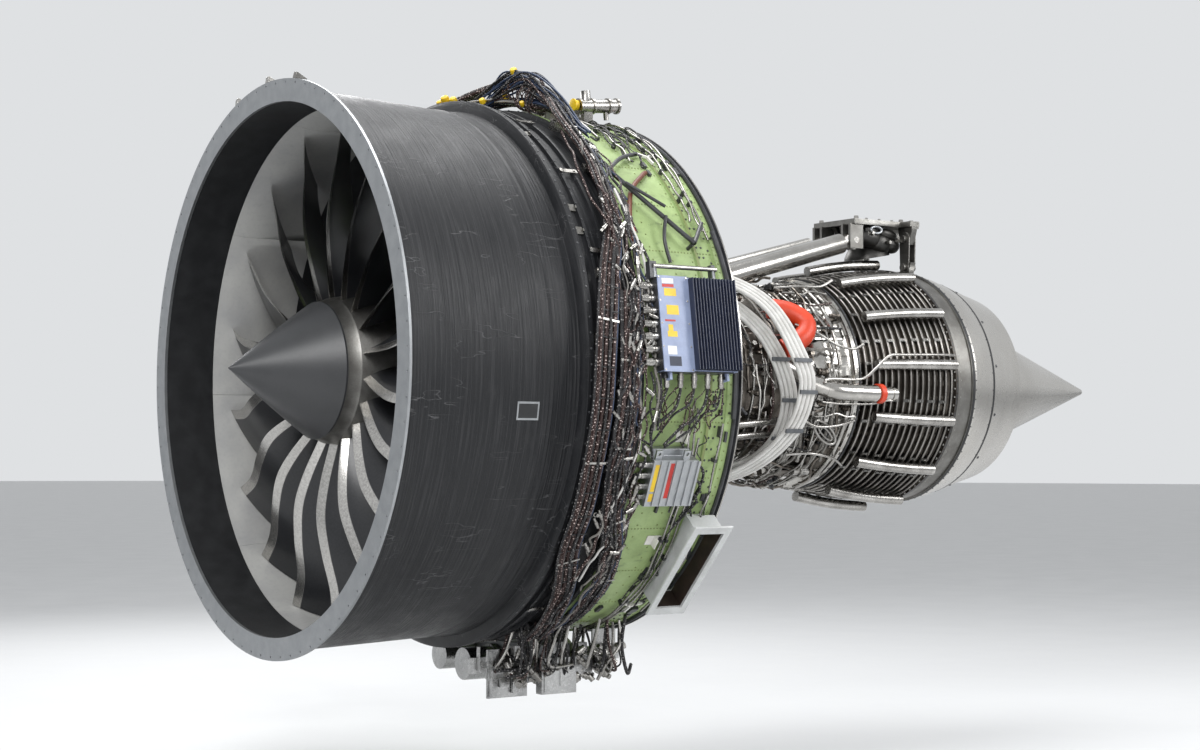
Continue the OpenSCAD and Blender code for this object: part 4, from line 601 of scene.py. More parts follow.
def loops(phi, r, x, sizes_mm, seed, tilt=0.35, turns=1.15, steps=32):
    """Loose open rings of wire near one place: circles of the given radii that drift sideways by their turns."""
    rng = np.random.default_rng(seed)
    out = []
    for size in sizes_mm:
        t = np.linspace(0, 2 * np.pi * turns, steps) + rng.uniform(0, 6)
        drift = (t - t[0]) * rng.uniform(2, 5) + rng.uniform(-25, 25)
        wave = 1 + 0.08 * np.sin(3 * t + rng.uniform(0, 6))
        local = np.stack([size * wave * np.sin(t), drift + size * tilt * np.cos(t), size * wave * np.cos(t)], -1)
        out.append(place(phi, r, x, local))
    return out


def ring_places(n, r, x, first=0.0):
    """n places on a circle round the shaft, and the outward directions there."""
    phi = first + 360 * np.arange(n) / n
    return polar(phi, r * MM, x * MM), polar(phi, 1.0, 0.0)


# Sizes, the same as in the part's source, in mm
SIZES = {
    "inlet_r": 1428.5, "barrel_front_r": 1518, "waist_r": 1466, "waist_x": 864, "stiffener_r": 1533,
    "stiffener_x": 1040, "case_len": 1390, "bore_r": 1452, "frame_r": 1470, "duct_r": 1400, "frame_end": 2010,
    "aft_flange_r": 1491, "aft_flange_len": 42, "tip_r": 1408, "blades": 18, "spinner_r": 374, "spinner_reach": 231,
    "spinner_x": 277, "hub_x": 359, "hub_len": 411, "hub_front_r": 398, "hub_rear_r": 470, "lpt_x": 3620,
    "lpt_front_r": 650, "rings": 15, "trf_x": 4360, "seam_front_r": 756, "seam_front_x": 4514, "seam_mid_r": 709,
    "rim_r": 624, "rim_x": 5056, "control_phi": 82, "control_x": 1450, "control_r": 1520, "control_h": 490,
    "control_t": 78, "ribbed_phi": 112.5, "mount_top": 1068,
}
S = type("Sizes", (), SIZES)


def case_outline():
    """Outline of the fan case, the same as the solid's."""
    q, w, a = S.barrel_front_r, S.waist_r, S.stiffener_r
    return ([[S.bore_r, 17.3], [q - 30, 17.3], [q - 24, 14.3], [q, 14.3], [q, 62], [q - 18, 130]]
            + [[q - 18 - (q - w - 22) * k / 12, 130 + (S.waist_x - 160) * k / 12] for k in range(1, 13)]
            + [[w + 1, S.waist_x - 14], [w + 6, S.waist_x], [w + 1, S.waist_x + 14], [w, S.stiffener_x - 60],
               [w + 6, S.stiffener_x - 24], [a - 16, S.stiffener_x - 16], [a, S.stiffener_x - 6],
               [a, S.stiffener_x + 26], [a - 28, S.stiffener_x + 30], [a - 36, S.stiffener_x + 84],
               [a - 18, S.stiffener_x + 88], [a - 18, S.stiffener_x + 104], [a - 40, S.stiffener_x + 108],
               [a - 44, S.stiffener_x + 176], [a - 24, S.stiffener_x + 180], [a - 24, S.stiffener_x + 196],
               [a - 48, S.stiffener_x + 200], [a - 50, S.case_len - 34], [a - 20, S.case_len - 28],
               [a - 20, S.case_len], [S.bore_r, S.case_len]])


class EngineSizes(bpy.types.PropertyGroup):
    """Sizes of the fine pieces that a user may change."""
    cable_radius: bpy.props.FloatProperty(name="Cable radius", description="Radius of a braided cable",
                                          default=0.011, min=0.006, max=0.014, unit="LENGTH", subtype="DISTANCE")
    wire_radius: bpy.props.FloatProperty(name="Wire radius", description="Radius of a thin wire",
                                         default=0.0045, min=0.002, max=0.008, unit="LENGTH", subtype="DISTANCE")
    rivet_radius: bpy.props.FloatProperty(name="Rivet radius", description="Radius of a rivet head on the frame",
                                          default=0.0055, min=0.003, max=0.009, unit="LENGTH", subtype="DISTANCE")
    floor_drop: bpy.props.FloatProperty(name="Floor drop", description="Height of the shaft above the floor",
                                        default=2.32, min=1.9, max=4.0, unit="LENGTH", subtype="DISTANCE")


class EngineColours(bpy.types.PropertyGroup):
    """Colours of the stage that a user may change."""
    floor: bpy.props.FloatVectorProperty(name="Floor", description="Colour of the plain floor", size=4,
                                         subtype="COLOR", default=linear("#d9dadb"), min=0, max=1)
    air: bpy.props.FloatVectorProperty(name="Background", description="Colour behind the engine", size=4,
                                       subtype="COLOR", default=linear("#dfe1e3"), min=0, max=1)


def sizes():
    """The scene's own size settings."""
    return bpy.context.scene.engine_sizes


def colours():
    """The scene's own colour settings."""
    return bpy.context.scene.engine_colours


class ENGINE_OT_finishes(bpy.types.Operator):
    """Give every solid of the engine its finish"""
    bl_idname = "engine.finishes"
    bl_label = "Finishes"

    def execute(self, context):
        """Builds the finishes and sets each node's own."""
        build_finishes()
        for part in frame["record"]["subparts"]:
            node = NODES[part["node"]]
            node.data.materials.clear()
            node.data.materials.append(FINISHES[part["material_slot"]])
        return {"FINISHED"}


class ENGINE_OT_inlet(bpy.types.Operator):
    """Build the inlet: flange, liners, spinner and hub"""
    bl_idname = "engine.inlet"
    bl_label = "Inlet and spinner"

    def execute(self, context):
        """Smooth copies of the flange and panels; the spinner is a turned curve with a ring of screws."""
        softened("flange_ring", "inlet_flange", "machined_aluminium", 0.001)
        softened("flange_lugs", "flange_brackets", "bright_steel", 0.001)
        turned("liner_front", [[S.inlet_r + 1, 17.3], [S.bore_r - 0.3, 17.3], [S.bore_r - 0.3, 309],
                               [S.inlet_r + 4, 309]], "black_liner", "forward_liner")
        softened("liner_panels", "track_liner", "pale_liner", 0.0)
        back = S.bore_r - 0.3
        turned("liner_rear", [[1417, 820.3], [back, 820.3], [back, S.case_len], [1412, S.case_len], [1412, 900]],
               "black_liner", "aft_liner")
        length = S.spinner_x + S.spinner_reach
        bow = (0.79 * length - S.spinner_r) / length ** 2
        s = length * (np.linspace(0, 1, 40) ** 1.4)
        cone = np.stack([0.79 * s - bow * s * s, s - S.spinner_reach], -1)[1:]
        cone[:3, 0] += [2.0, 1.2, 0.5]
        lip, x = S.spinner_r, S.spinner_x
        outline = ([[0.01, -S.spinner_reach + 0.5]] + cone.tolist()
                   + [[lip, x + 10], [lip - 12, x + 10], [lip - 12, x], [0.01, 40 - S.spinner_reach]])
        turned("spinner_cone", outline, "spinner_coat", "spinner", "low_spool", 180)
        places, out = ring_places(36, 357.5, 262)
        lean = out * 0.85 + FORE * 0.52
        put_parts("spinner_screws", [studs(places, lean, 0.0085, 0.004, 12)], "dark_anodised", "low_spool")
        end = S.hub_x + S.hub_len
        hub = [[152, 319], [314, 287.3], [374, 287.3], [388, 345], [396, 355], [S.hub_front_r, S.hub_x],
               [S.hub_rear_r, end], [440, end], [410, 730], [300, 659], [190, 639], [152, 779]]
        turned("hub_ring", hub, "frame_metal", "fan_disk", "low_spool", 240)
        return {"FINISHED"}


def blade_grid():
    """Blade surface over span and chord. At each radius the section has its chord, stagger, thickness and bow;
    a point lies the share u of the chord aft of the leading edge, raised by the bow and half the thickness, and
    wraps round the shaft by its arc. The thickness grows as the root of u at the nose."""
    r = np.concatenate([[380, 392], np.linspace(404, S.tip_r, 44)])
    h = np.clip((r - 400) / (S.tip_r - 400), 0, None)
    ease = np.sin(np.pi / 2 * h)
    chord, stagger = 385 + (545 - 385) * ease, np.radians(8 + (58 - 8) * ease)
    thick, bow = 36 + (10 - 36) * np.sqrt(h), 0.09 - 0.06 * h
    edge_x = smooth_line([[380, 366], [400, 364], [600, 329], [800, 315], [1000, 345], [1200, 392], [1400, 411],
                          [1410, 411.9]], 8)
    edge_phi = smooth_line([[380, -0.6], [400, 0], [500, 2.2], [600, 3.8], [700, 4.6], [800, 4.65], [1000, 3.5],
                            [1200, 2.55], [1300, 2.8], [1400, 3.5], [1410, 3.57]], 8)
    x0, phi0 = np.interp(r, edge_x[:, 0], edge_x[:, 1]), np.interp(r, edge_phi[:, 0], edge_phi[:, 1])
    t = (1 - np.cos(np.linspace(0, np.pi, 26))) / 2
    u = np.concatenate([t[::-1], t[1:]])
    side = np.concatenate([np.ones(len(t)), -np.ones(len(t) - 1)])
    chord, stagger, thick, bow, x0, phi0, rr = (a[:, None] for a in (chord, stagger, thick, bow, x0, phi0, r))
    rise = chord * bow * 4 * u * (1 - u) + side * thick / 2 * (0.1 * np.sqrt(np.minimum(u / 0.01, 1))
                                                              + 3.6 * u * (1 - u))
    x = x0 + chord * u * np.cos(stagger) - rise * np.sin(stagger)
    phi = phi0 + np.degrees((-chord * u * np.sin(stagger) - rise * np.cos(stagger)) / rr)
    return phi, np.broadcast_to(rr, phi.shape), x, np.broadcast_to(u, phi.shape)


class ENGINE_OT_fan_blades(bpy.types.Operator):
    """Build the wide swept fan blades with their metal edges"""
    bl_idname = "engine.fan_blades"
    bl_label = "Fan blades"

    def execute(self, context):
        """One blade grid, turned to each of the blades' places."""
        phi, r, x, u = blade_grid()
        rows, cols = phi.shape
        shape = (S.blades, rows, cols)
        turns = -1.3 + 360 / S.blades * np.arange(S.blades)[:, None, None]
        points = polar(phi[None] + turns, np.broadcast_to(r, shape) * MM, np.broadcast_to(x, shape) * MM)
        one = grid_faces(rows, cols, wrap_cols=True)
        start = (np.arange(S.blades) * rows * cols)[:, None, None]
        tip = np.arange(cols)[None] + (rows - 1) * cols + start[:, 0]
        root = np.arange(cols)[::-1][None] + start[:, 0]
        put_piece("fan_blade_set", points.reshape(-1, 3), [(one[None] + start).reshape(-1, 4), tip, root],
                  "blade_composite", "low_spool", ["fan_blades"], 50,
                  values={"edge": np.broadcast_to(u, shape).ravel()})
        return {"FINISHED"}


class ENGINE_OT_fan_case(bpy.types.Operator):
    """Build the composite fan case and its clips"""
    bl_idname = "engine.fan_case"
    bl_label = "Fan case"

    def execute(self, context):
        """The case is the turned outline of the solid. Studs stand in circles on its rings, and a beaded plate
        and small strap brackets lie on it."""
        turned("case_barrel", case_outline(), "composite", "fan_case", steps=300, sharp=22)
        softened("case_clip_set", "case_clips", "bright_steel", 0.0008)
        places, out = ring_places(120, S.stiffener_r - 0.2, S.stiffener_x + 10)
        heads = [studs(places, out, 0.0065, 0.0035, 8)]
        for x, r in ((S.stiffener_x + 96, S.stiffener_r - 18), (S.case_len - 14, S.stiffener_r - 20)):
            places, out = ring_places(90, r - 0.2, x)
            heads.append(studs(places, out, 0.006, 0.004, 8))
        put_parts("case_studs", heads, "dark_anodised")
        base = float(np.interp(720, [160, S.waist_x - 14], [S.barrel_front_r - 18, S.waist_r + 4]))
        put_parts("bare_plate", [patch(97.4, 101.0, base + 2.5, base, 655, 785, 1.2, 0.6)], "machined_aluminium")
        put_parts("bare_field", [patch(97.8, 100.6, base + 4.1, base + 1.6, 664, 776, 0.4, 0.0)], "black_liner")
        strap = [[0, -22, 0, 12, 44, 50], [0, -8, -4, 30, 16, 8], [0, -8, 46, 22, 16, 8]]
        straps = [slabs(phi, S.stiffener_r - 36, S.stiffener_x + 34, strap)
                  for phi in (57, 62.5, 88, 106, 124, 20, 33)]
        put_parts("strap_brackets", straps, "frame_metal")
        return {"FINISHED"}


def ring_fasteners(q):
    """Rivets and bolts round and along the skin at radius q: domes in circles and in straight rows."""
    rows, dark = [], []
    for x, n in ((1462, 120), (1560, 120), (1690, 120), (1820, 120), (1990, 180)):
        places, out = ring_places(n, q - 0.2, x, 1.1)
        rows.append(studs(places, out, sizes().rivet_radius, 0.003, 5))
    for x, n in ((1872, 150), (1902, 150), (1944, 120)):
        places, out = ring_places(n, q - 0.2, x, 1.1)
        dark.append(studs(places, out, sizes().rivet_radius * 1.3, 0.004, 6))
    put_parts("ring_dark_bolts", dark, "dark_anodised")
    turns, along = np.arange(0, 360, 12.0) + 5.0, np.linspace(1470, 1990, 26)
    phi, x = np.repeat(turns, len(along)), np.tile(along, len(turns))
    x = np.where((x > 1832) & (x < 1866), 1870, x)
    places, out = polar(phi, (q - 0.2) * MM, x * MM), polar(phi, 1.0, 0.0)
    rows.append(studs(places, out, sizes().rivet_radius * 0.9, 0.003, 8))
    put_parts("ring_rivets", rows, "olive_band")


def ring_hose(q):
    """Brown hose with a metal collar and a ribbed red end, circles swept on one curve."""
    hose = route([[43, q + 10.2, 1756], [45, q + 25, 1700], [50, q + 18, 1570], [58, q + 26, 1470],
                  [64, q + 40, 1430]], 8)
    put_parts("oil_hose", [sweep(hose[:-6], 0.0132, 14)], "brown_rubber")
    put_parts("hose_collar", [sweep(hose[-9:-5], 0.0165, 14)], "bright_steel")
    tail = route([[61, q + 34, 1450], [64, q + 42, 1432], [66, q + 46, 1424], [68.4, q + 40, 1420]], 6)
    ribs = 1 + 0.25 * np.sin(np.arange(len(tail)) * 1.3)
    put_parts("hose_end", [sweep(tail, 0.0155, 14, ribs)], "red_plastic")


def ring_rods(q):
    """Dark rods that brace the ring, each a swept circle."""
    rods = [sweep(route(points, 8), size * MM, 12) for points, size in (
        ([[50, q + 74, 1500], [56, q + 80, 1690]], 9),
        ([[64, q + 60, 1815], [58, q + 30, 1940]], 12),
        ([[46, q + 60, 1450], [40, q + 40, 1620], [36, q + 20, 1790]], 12),
        ([[58, q + 66, 1680], [63, q + 40, 1640], [68, q + 20, 1652]], 10))]
    put_parts("thin_rods", rods, "dark_anodised")


def ring_tubes(q, rng):
    """Tubes round the ring on seeded curves, with a foot under each at three places and small clips beside."""
    tubes, feet = [], []
    for phi0, phi1, x, r in ((96, 164, 1742, 16), (98, 162, 1768, 18), (104, 166, 1800, 16), (14, 60, 1936, 18),
                             (20, 62, 1956, 16), (101, 152, 1938, 18), (30, 58, 1880, 20), (8, 40, 1700, 18)):
        phi = np.linspace(phi0, phi1, 14)
        bend = x + rng.uniform(-10, 10, 14) + 18 * np.sin(np.radians(phi * 5 + phi0))
        lift = q + r + 10 + rng.uniform(-3, 5, 14)
        tubes.append(sweep(route(np.stack([phi, lift, bend], -1), 5), 0.0062, 10))
        for k in (2, 6, 10):
            feet.append(slabs(phi[k], q, bend[k], [[-1, -9, -9, lift[k] - q + 8, 18, 18]]))
    put_parts("ring_tubes", tubes, "bright_steel")
    for k in range(64):
        phi = rng.uniform(12, 44) if k % 2 else rng.uniform(96, 166)
        x = rng.choice([1640, 1760, 1880, 1925, 1975])
        a, b = rng.uniform(14, 34), rng.uniform(12, 26)
        x = min(x + rng.uniform(-16, 16), 2000 - b)
        feet.append(slabs(phi, q, x, [[-1, -a, 0, rng.uniform(8, 22), 2 * a, b]]))
    put_parts("ring_clips", feet, "dark_anodised")


def ring_wires(q, rng):
    """Thin wires that wander a little way round the ring."""
    wires = []
    for k in range(26):
        start = rng.uniform(8, 22) if k % 2 else rng.uniform(96, 140)
        phi = start + np.linspace(0, rng.uniform(8, 20), 8)
        x = rng.uniform(1640, 1960) + np.cumsum(rng.uniform(-26, 26, 8))
        r = q + 12 + rng.uniform(0, 34, 8)
        path = route(np.stack([phi, r, np.clip(x, 1480, 1996)], -1), 5)
        wires.append(sweep(path, rng.uniform(3.0, 6.0) * MM, 6))
    put_parts("ring_wires", wires, "black_braid", mapped=True)


class ENGINE_OT_frame_ring(bpy.types.Operator):
    """Build the green frame ring, its rivets and the aft flange"""
    bl_idname = "engine.frame_ring"
    bl_label = "Frame ring"

    def execute(self, context):
        """Turned skin with a raised band and rows of rivets. Hose, rods, tubes and wires lie over it on seeded
        curves, each a swept circle, with small clips below."""
        q, front, end = S.frame_r, S.case_len + 0.3, S.frame_end
        outline = [[S.duct_r, front], [1513, front], [1513, 1412], [q + 4, 1416], [q, 1450], [q, 1838],
                   [q + 10, 1840], [q + 10, 1858], [q, 1860], [q, 1960], [q + 5, 1962], [q + 5, 1972], [q, 1974],
                   [q, end], [S.duct_r, end]]
        turned("ring_skin", outline, "green_primer", "fan_frame_ring", steps=300, sharp=25)
        turned("ring_band", [[q + 9.5, 1841], [q + 11, 1841], [q + 11, 1857], [q + 9.5, 1857]], "olive_band")
        ring_fasteners(q)
        a = S.aft_flange_r
        rim = end + S.aft_flange_len
        flange = [[S.duct_r, end + 0.3], [a - 8, end + 0.3], [a, end + 6], [a, end + 12], [a - 14, end + 18],
                  [a - 14, rim - 14], [a, rim - 10], [a, rim], [S.duct_r, rim]]
        turned("aft_flange_ring", flange, "dark_anodised", "aft_flange", steps=300, sharp=25)
        edge = [[a - 0.5, rim - 9], [a + 0.6, rim - 9], [a + 0.6, rim - 1], [a - 0.5, rim - 1]]
        turned("aft_flange_edge", edge, "bright_steel")
        softened("ring_brackets", "frame_brackets", "white_enamel", 0.0015)
        softened("rods_and_hoses", "frame_rods", "dark_anodised", 0.0)
        ring_hose(q)
        ring_rods(q)
        rng = np.random.default_rng(31)
        ring_tubes(q, rng)
        ring_wires(q, rng)
        return {"FINISHED"}


HARNESS_A = [[-16, 1566, 1180], [-4, 1640, 1350], [8, 1690, 1470], [18, 1640, 1440], [30, 1585, 1360],
             [46, 1560, 1345], [60, 1556, 1300], [72, 1560, 1190], [85, 1566, 1120], [100, 1568, 1100],
             [116, 1566, 1100], [127, 1560, 1110], [138, 1556, 1210], [150, 1556, 1290], [159, 1556, 1345]]
HARNESS_B = [[76, 1572, 1290], [93, 1566, 1262], [101, 1562, 1255], [110, 1562, 1250], [119, 1562, 1285],
             [127, 1556, 1375], [136, 1546, 1440], [146, 1524, 1470], [154, 1508, 1490], [160, 1506, 1500]]


def beside(path, shift):
    """A path moved sideways by shift metres, across itself and along the case."""
    ahead = np.gradient(path, axis=0)
    out = path * [0, 1, 1]
    out = out / np.linalg.norm(out, axis=1, keepdims=True)
    side = np.cross(out, ahead)
    return path + shift * side / np.linalg.norm(side, axis=1, keepdims=True)


def waver(count, points, size, seed):
    """Smooth random offsets for several paths: sums of three slow sine waves with seeded phases."""
    rng = np.random.default_rng(seed)
    s = np.linspace(0, 1, points)[None, :, None]
    out = np.zeros((count, points, 1))
    for k in (3, 7, 13):
        height = rng.uniform(0.4, 1.0, (count, 1, 1))
        phase = rng.uniform(0, 1, (count, 1, 1))
        out += height * np.sin(2 * np.pi * (k * s + phase)) / k
    return size * out


def harness_cables():
    """Cables side by side along both routes, thinner ones over them, with ties and bands across."""
    groups = {"brown_braid": [], "black_braid": [], "blue_sleeve": []}
    ties, bands = [], []
    for number, points in enumerate((HARNESS_A, HARNESS_B)):
        path = route(points, 8)
        share = np.linspace(0, 1, len(path))[:, None]
        spread = np.clip((share - 0.3) / 0.2, 0, 1) if number == 0 else np.ones_like(share)
        outward = path * [0, 1, 1]
        outward /= np.linalg.norm(outward, axis=1, keepdims=True)
        for k in range(5):
            shift = 0.0245 * (k - 2)
            line = path + (beside(path, shift) - path) * (0.55 + 0.45 * spread)
            line = line + outward * (1 - spread) * (0.010 if k % 2 else -0.004)
            line = line + waver(1, len(line), 0.0035, 10 * number + k)[0] * [1, 0, 0]
            colour = ("brown_braid", "black_braid")[(k + number) % 5 % 2]
            groups[colour].append(sweep(line, sizes().cable_radius * (1 - 0.12 * (k % 2)), 10))
        for k, (shift, lift) in enumerate(((-0.040, 0.014), (0.012, 0.017), (0.058, 0.004), (-0.060, 0.005))):
            line = path + (beside(path, shift) - path) * (0.45 + 0.55 * spread) + outward * lift
            line = line + waver(1, len(line), 0.012, 50 + 10 * number + k)[0] * [1, 0, 0]
            colour = ("brown_braid", "black_braid", "blue_sleeve", "black_braid")[k]
            groups[colour].append(sweep(line, sizes().wire_radius * (1.7, 1.5, 1.3, 1.6)[k], 10))
        ahead = np.gradient(path, axis=0)
        ahead /= np.linalg.norm(ahead, axis=1, keepdims=True)
        side = np.cross(outward, ahead)
        half = 0.064 * (0.6 + 0.4 * spread)
        corner = path - side * half + outward * 0.0105 - ahead * 0.003
        at = np.arange(4, len(path) - 4, 3)
        ties.append(blocks(corner[at], (side * 2 * half)[at], (ahead * 0.006)[at], (outward * 0.0028)[at]))
        at = np.arange(6, len(path) - 4, 14)
        bands.append(blocks(corner[at], (side * 2 * half)[at], (ahead * 0.011)[at], (outward * 0.0045)[at]))
    for colour, group in groups.items():
        points, faces, uv = joined(group)
        put_piece("harness_" + colour, points, faces, colour, "root",
                  ["wiring_harness"] if colour == "brown_braid" else (), uv=uv)
    put_parts("harness_ties", ties, "black_liner")
    put_parts("harness_bands", bands, "bright_steel")


def harness_wires(rng):
    """Thin wires that wander beside the bundle, with stepped plug shells at their ends and between them."""
    plugs = []
    for colour, count, lift in (("black_braid", 26, 34), ("brown_braid", 20, 34), ("blue_sleeve", 6, 26),
                                ("steel_braid", 12, 30), ("white_sleeve", 3, 24)):
        group = []
        for k in range(count):
            start = rng.uniform(34, 140)
            n = 9
            phi = start + np.linspace(0, rng.uniform(10, 34), n)
            home = 1330 + 80 * np.sin(np.radians(start * 2.2 + rng.uniform(0, 360)))
            x = np.clip(home + np.cumsum(rng.uniform(-34, 34, n)), 1150, 1470)
            r = 1552 + lift * rng.uniform(0.15, 1.3, n) * np.clip((1420 - x) / 120, 0.1, 1)
            path = route(np.stack([phi, r, x], -1), 6)
            group.append(sweep(path, sizes().wire_radius * rng.uniform(0.8, 1.8), 6))
            if k % 2 == 0:
                step = path[3] - path[0]
                step = step / np.linalg.norm(step)
                spots = path[0] + step * np.array([-0.045, -0.022, -0.021, 0.0, 0.001, 0.018])[:, None]
                plugs.append(sweep(spots, 0.0115, 12, [0.8, 0.8, 1.15, 1.15, 0.85, 0.7]))
        put_parts("wires_" + colour, group, colour, mapped=True)
    for k in range(46):
        phi, x = rng.uniform(62, 128), rng.uniform(1180, 1440)
        base = place(phi, 1556 + rng.uniform(0, 26), x, [0, 0, 0])
        step = place(phi, 0, 0, rng.uniform(-1, 1, 3) * [0.4, 1, 1]) / MM
        step = step / np.linalg.norm(step)
        spots = base + step * np.array([-0.03, -0.008, -0.007, 0.007, 0.008, 0.03])[:, None]
        plugs.append(sweep(spots, rng.uniform(0.009, 0.014), 10, [0.75, 0.75, 1.1, 1.1, 0.85, 0.85]))
    put_parts("wire_plugs", plugs, "bright_steel")


def top_tangle(rng):
    """Strands over the top of the case: loops of spare wire, and dark lines that rise and fall to the front."""
    tangle = {"brown_braid": [], "black_braid": [], "blue_sleeve": [], "steel_braid": []}
    keys = list(tangle)
    for number, spot in enumerate(([11, 1612, 1452], [13, 1600, 1436], [8, 1620, 1430], [16, 1590, 1446])):
        for k, path in enumerate(loops(*spot, (54, 66, 76, 84), 60 + number)):
            tangle[keys[(k + number) % 4 if k == 2 else 0]].append(sweep(path, rng.uniform(3.2, 6.4) * MM, 6))
    for k in range(44):
        low = k % 3 == 0
        start = np.array([rng.uniform(-7, 2), 1502 + rng.uniform(2, 26), rng.uniform(1270, 1330)])
        top = np.array([rng.uniform(0, 8) if low else rng.uniform(5, 14),
                        rng.uniform(1532, 1590) if low else rng.uniform(1640, 1738), rng.uniform(1370, 1450)])
        stop = np.array([rng.uniform(20, 36), 1552 + rng.uniform(0, 34), rng.uniform(1400, 1480)])
        rows = [start, start * 0.6 + top * 0.4 + rng.uniform(-18, 18, 3) * [0.1, 1, 1], top,
                top * 0.5 + stop * 0.5 + rng.uniform(-18, 18, 3) * [0.1, 1, 1], stop]
        tangle[keys[1 + k % 2 if k % 5 else 0]].append(sweep(route(rows, 8), rng.uniform(4.0, 8.5) * MM, 8))
    for colour, group in tangle.items():
        put_parts("tangle_" + colour, group, colour, mapped=True)


def top_fittings():
    """Yellow caps, bare tubes and sheet brackets over the top."""
    caps = []
    for phi, r, x, size in ((-1, 1564, 1100, 25), (1.5, 1552, 1112, 22), (-3, 1552, 1096, 20),
                            (2, 1566, 1296, 19), (8, 1736, 1390, 21), (6.5, 1594, 1372, 20),
                            (14, 1560, 1360, 14)):
        base, out = place(phi, r, x, [0, 0, 0]), polar(phi, 1.0, 0.0)
        lean = out + FORE * 0.8 + np.array([0, -0.4, 0])
        lean = lean / np.linalg.norm(lean)
        spots = base + lean * np.array([-1.1, -0.5, -0.45, 0.5, 0.9, 1.0])[:, None] * size * MM
        caps.append(sweep(spots, size * MM, 16, [0.8, 0.8, 1.0, 1.0, 0.85, 0.5]))
    put_parts("yellow_caps", caps, "yellow_plastic")
    steel = [sweep(route(points, 8), size * MM, 12) for points, size in (
        ([[-10, 1552, 1290], [-4, 1554, 1316], [4, 1560, 1344], [10, 1560, 1372], [15, 1552, 1410]], 15),
        ([[-4, 1570, 1240], [4, 1574, 1330], [12, 1566, 1420], [20, 1546, 1500], [24, 1520, 1560]], 8),
        ([[10, 1560, 1460], [18, 1570, 1500], [26, 1556, 1520], [33, 1530, 1560]], 8))]
    put_parts("top_tubes", steel, "bright_steel")
    posts = [slabs(19, 1500, 1440, [[0, -7, 0, 150, 14, 26], [60, -30, 4, 10, 64, 18],
                                    [120, -26, 4, 8, 54, 18]]),
             slabs(25, 1500, 1448, [[0, -7, 0, 100, 14, 26], [70, -30, 4, 10, 64, 18]]),
             slabs(0, 1500, 1330, [[0, -8, 0, 72, 16, 30], [64, -34, 2, 8, 70, 24]])]
    put_parts("top_brackets", posts, "frame_metal")


class ENGINE_OT_harness(bpy.types.Operator):
    """Build the braided harness with its thin wires, ties, loops and caps"""
    bl_idname = "engine.harness"
    bl_label = "Wiring harness"

    def execute(self, context):
        """Cables side by side along two routes, each a swept circle, gathered into one bundle over the top, with
        thin wires that wander beside them."""
        harness_cables()
        rng = np.random.default_rng(4)
        harness_wires(rng)
        top_tangle(rng)
        top_fittings()
        softened("clamp_blocks", "harness_clamps", "bright_steel", 0.001)
        return {"FINISHED"}


def box_faces(phi, r, x):
    """Plain colour fields and screws on the face plate at angle phi, radius r and distance x, fields on the ribbed
    box, and the sleeve of the handle."""
    fields = {"white_enamel": [[0, -236, 20, 0.7, 26, 74], [0, 118, 26, 0.7, 44, 56]],
              "red_plastic": [[0, -206, 20, 0.7, 16, 74], [0, -20, 22, 0.7, 10, 66]],
              "yellow_plastic": [[0, -184, 30, 0.7, 40, 76], [0, -96, 38, 0.7, 50, 76],
                                 [0, 6, 40, 0.7, 34, 30], [0, 40, 32, 0.7, 30, 62]],
              "fin_paint": [[0, 172, 30, 0.7, 50, 76]]}
    for finish, rows in fields.items():
        put_parts("panel_fields_" + finish, [slabs(phi, r, x, rows)], finish)
    spots = [[0, y, z] for y in (-242, -120, 0, 120, 242) for z in (2, 176)]
    out = place(phi, 1, 0, [0, 0, 0]) / MM
    put_parts("panel_screws", [studs(place(phi, r, x, spots), out, 0.0055, 0.003, 10)], "bright_steel")
    rows = [[70.3, -104, 17, 0.7, 150, 28], [70.3, 58, 17, 0.7, 44, 28]]
    put_parts("ribbed_field_yellow", [slabs(S.ribbed_phi, 1500, 1462, rows)], "yellow_plastic")
    red = [[70.3, -112, 113, 0.7, 196, 28]]
    put_parts("ribbed_field_red", [slabs(S.ribbed_phi, 1500, 1462, red)], "red_plastic")
    grip = place(phi, S.control_r + 30, x, [[20, -S.control_h / 2 - 60, z] for z in np.linspace(-10, 402, 12)])
    put_parts("grip_sleeve", [sweep(grip, 0.0125, 16)], "polished_metal")


def fore_plugs(phi, x, rng, tails, shells, thin):
    """Plugs along the fore side of the control box, each with a tail that bends aft and round, and loose wires."""
    for k in range(7):
        phi_k = phi + math.degrees((-200 + 66 * k) / (S.control_r + 34))
        fall = rng.uniform(2, 7)
        pts = [[phi_k, S.control_r + 34, x - 66], [phi_k + 0.2, S.control_r + 36, x - 92],
               [phi_k + 0.2 * fall, S.control_r + 40, x - 128], [phi_k + 0.6 * fall, S.control_r + 34, x - 158],
               [phi_k + 1.4 * fall, S.control_r + 26, x - 176], [phi_k + 2.2 * fall, S.control_r + 18, x - 214]]
        tails.append(sweep(route(pts, 6), 0.0105, 10))
        line = np.array([x - 8, x - 10, x - 36, x - 37, x - 50, x - 51, x - 92, x - 94])
        spots = polar(phi_k, (S.control_r + 40) * MM, line * MM)
        shells.append(sweep(spots, 0.0235, 16, [0.9, 1, 1, 0.86, 0.86, 1.02, 0.8, 0.5]))
        for j in range(3):
            pts = [[phi_k + 0.4 * j, S.control_r + 30, x - 70 - 10 * j]]
            for step in range(6):
                pts.append([pts[-1][0] + rng.uniform(-0.6, 2.0), S.control_r + rng.uniform(10, 62),
                            pts[-1][2] - rng.uniform(4, 34)])
            thin.append(sweep(route(pts, 5), rng.uniform(2.4, 4.6) * MM, 6))


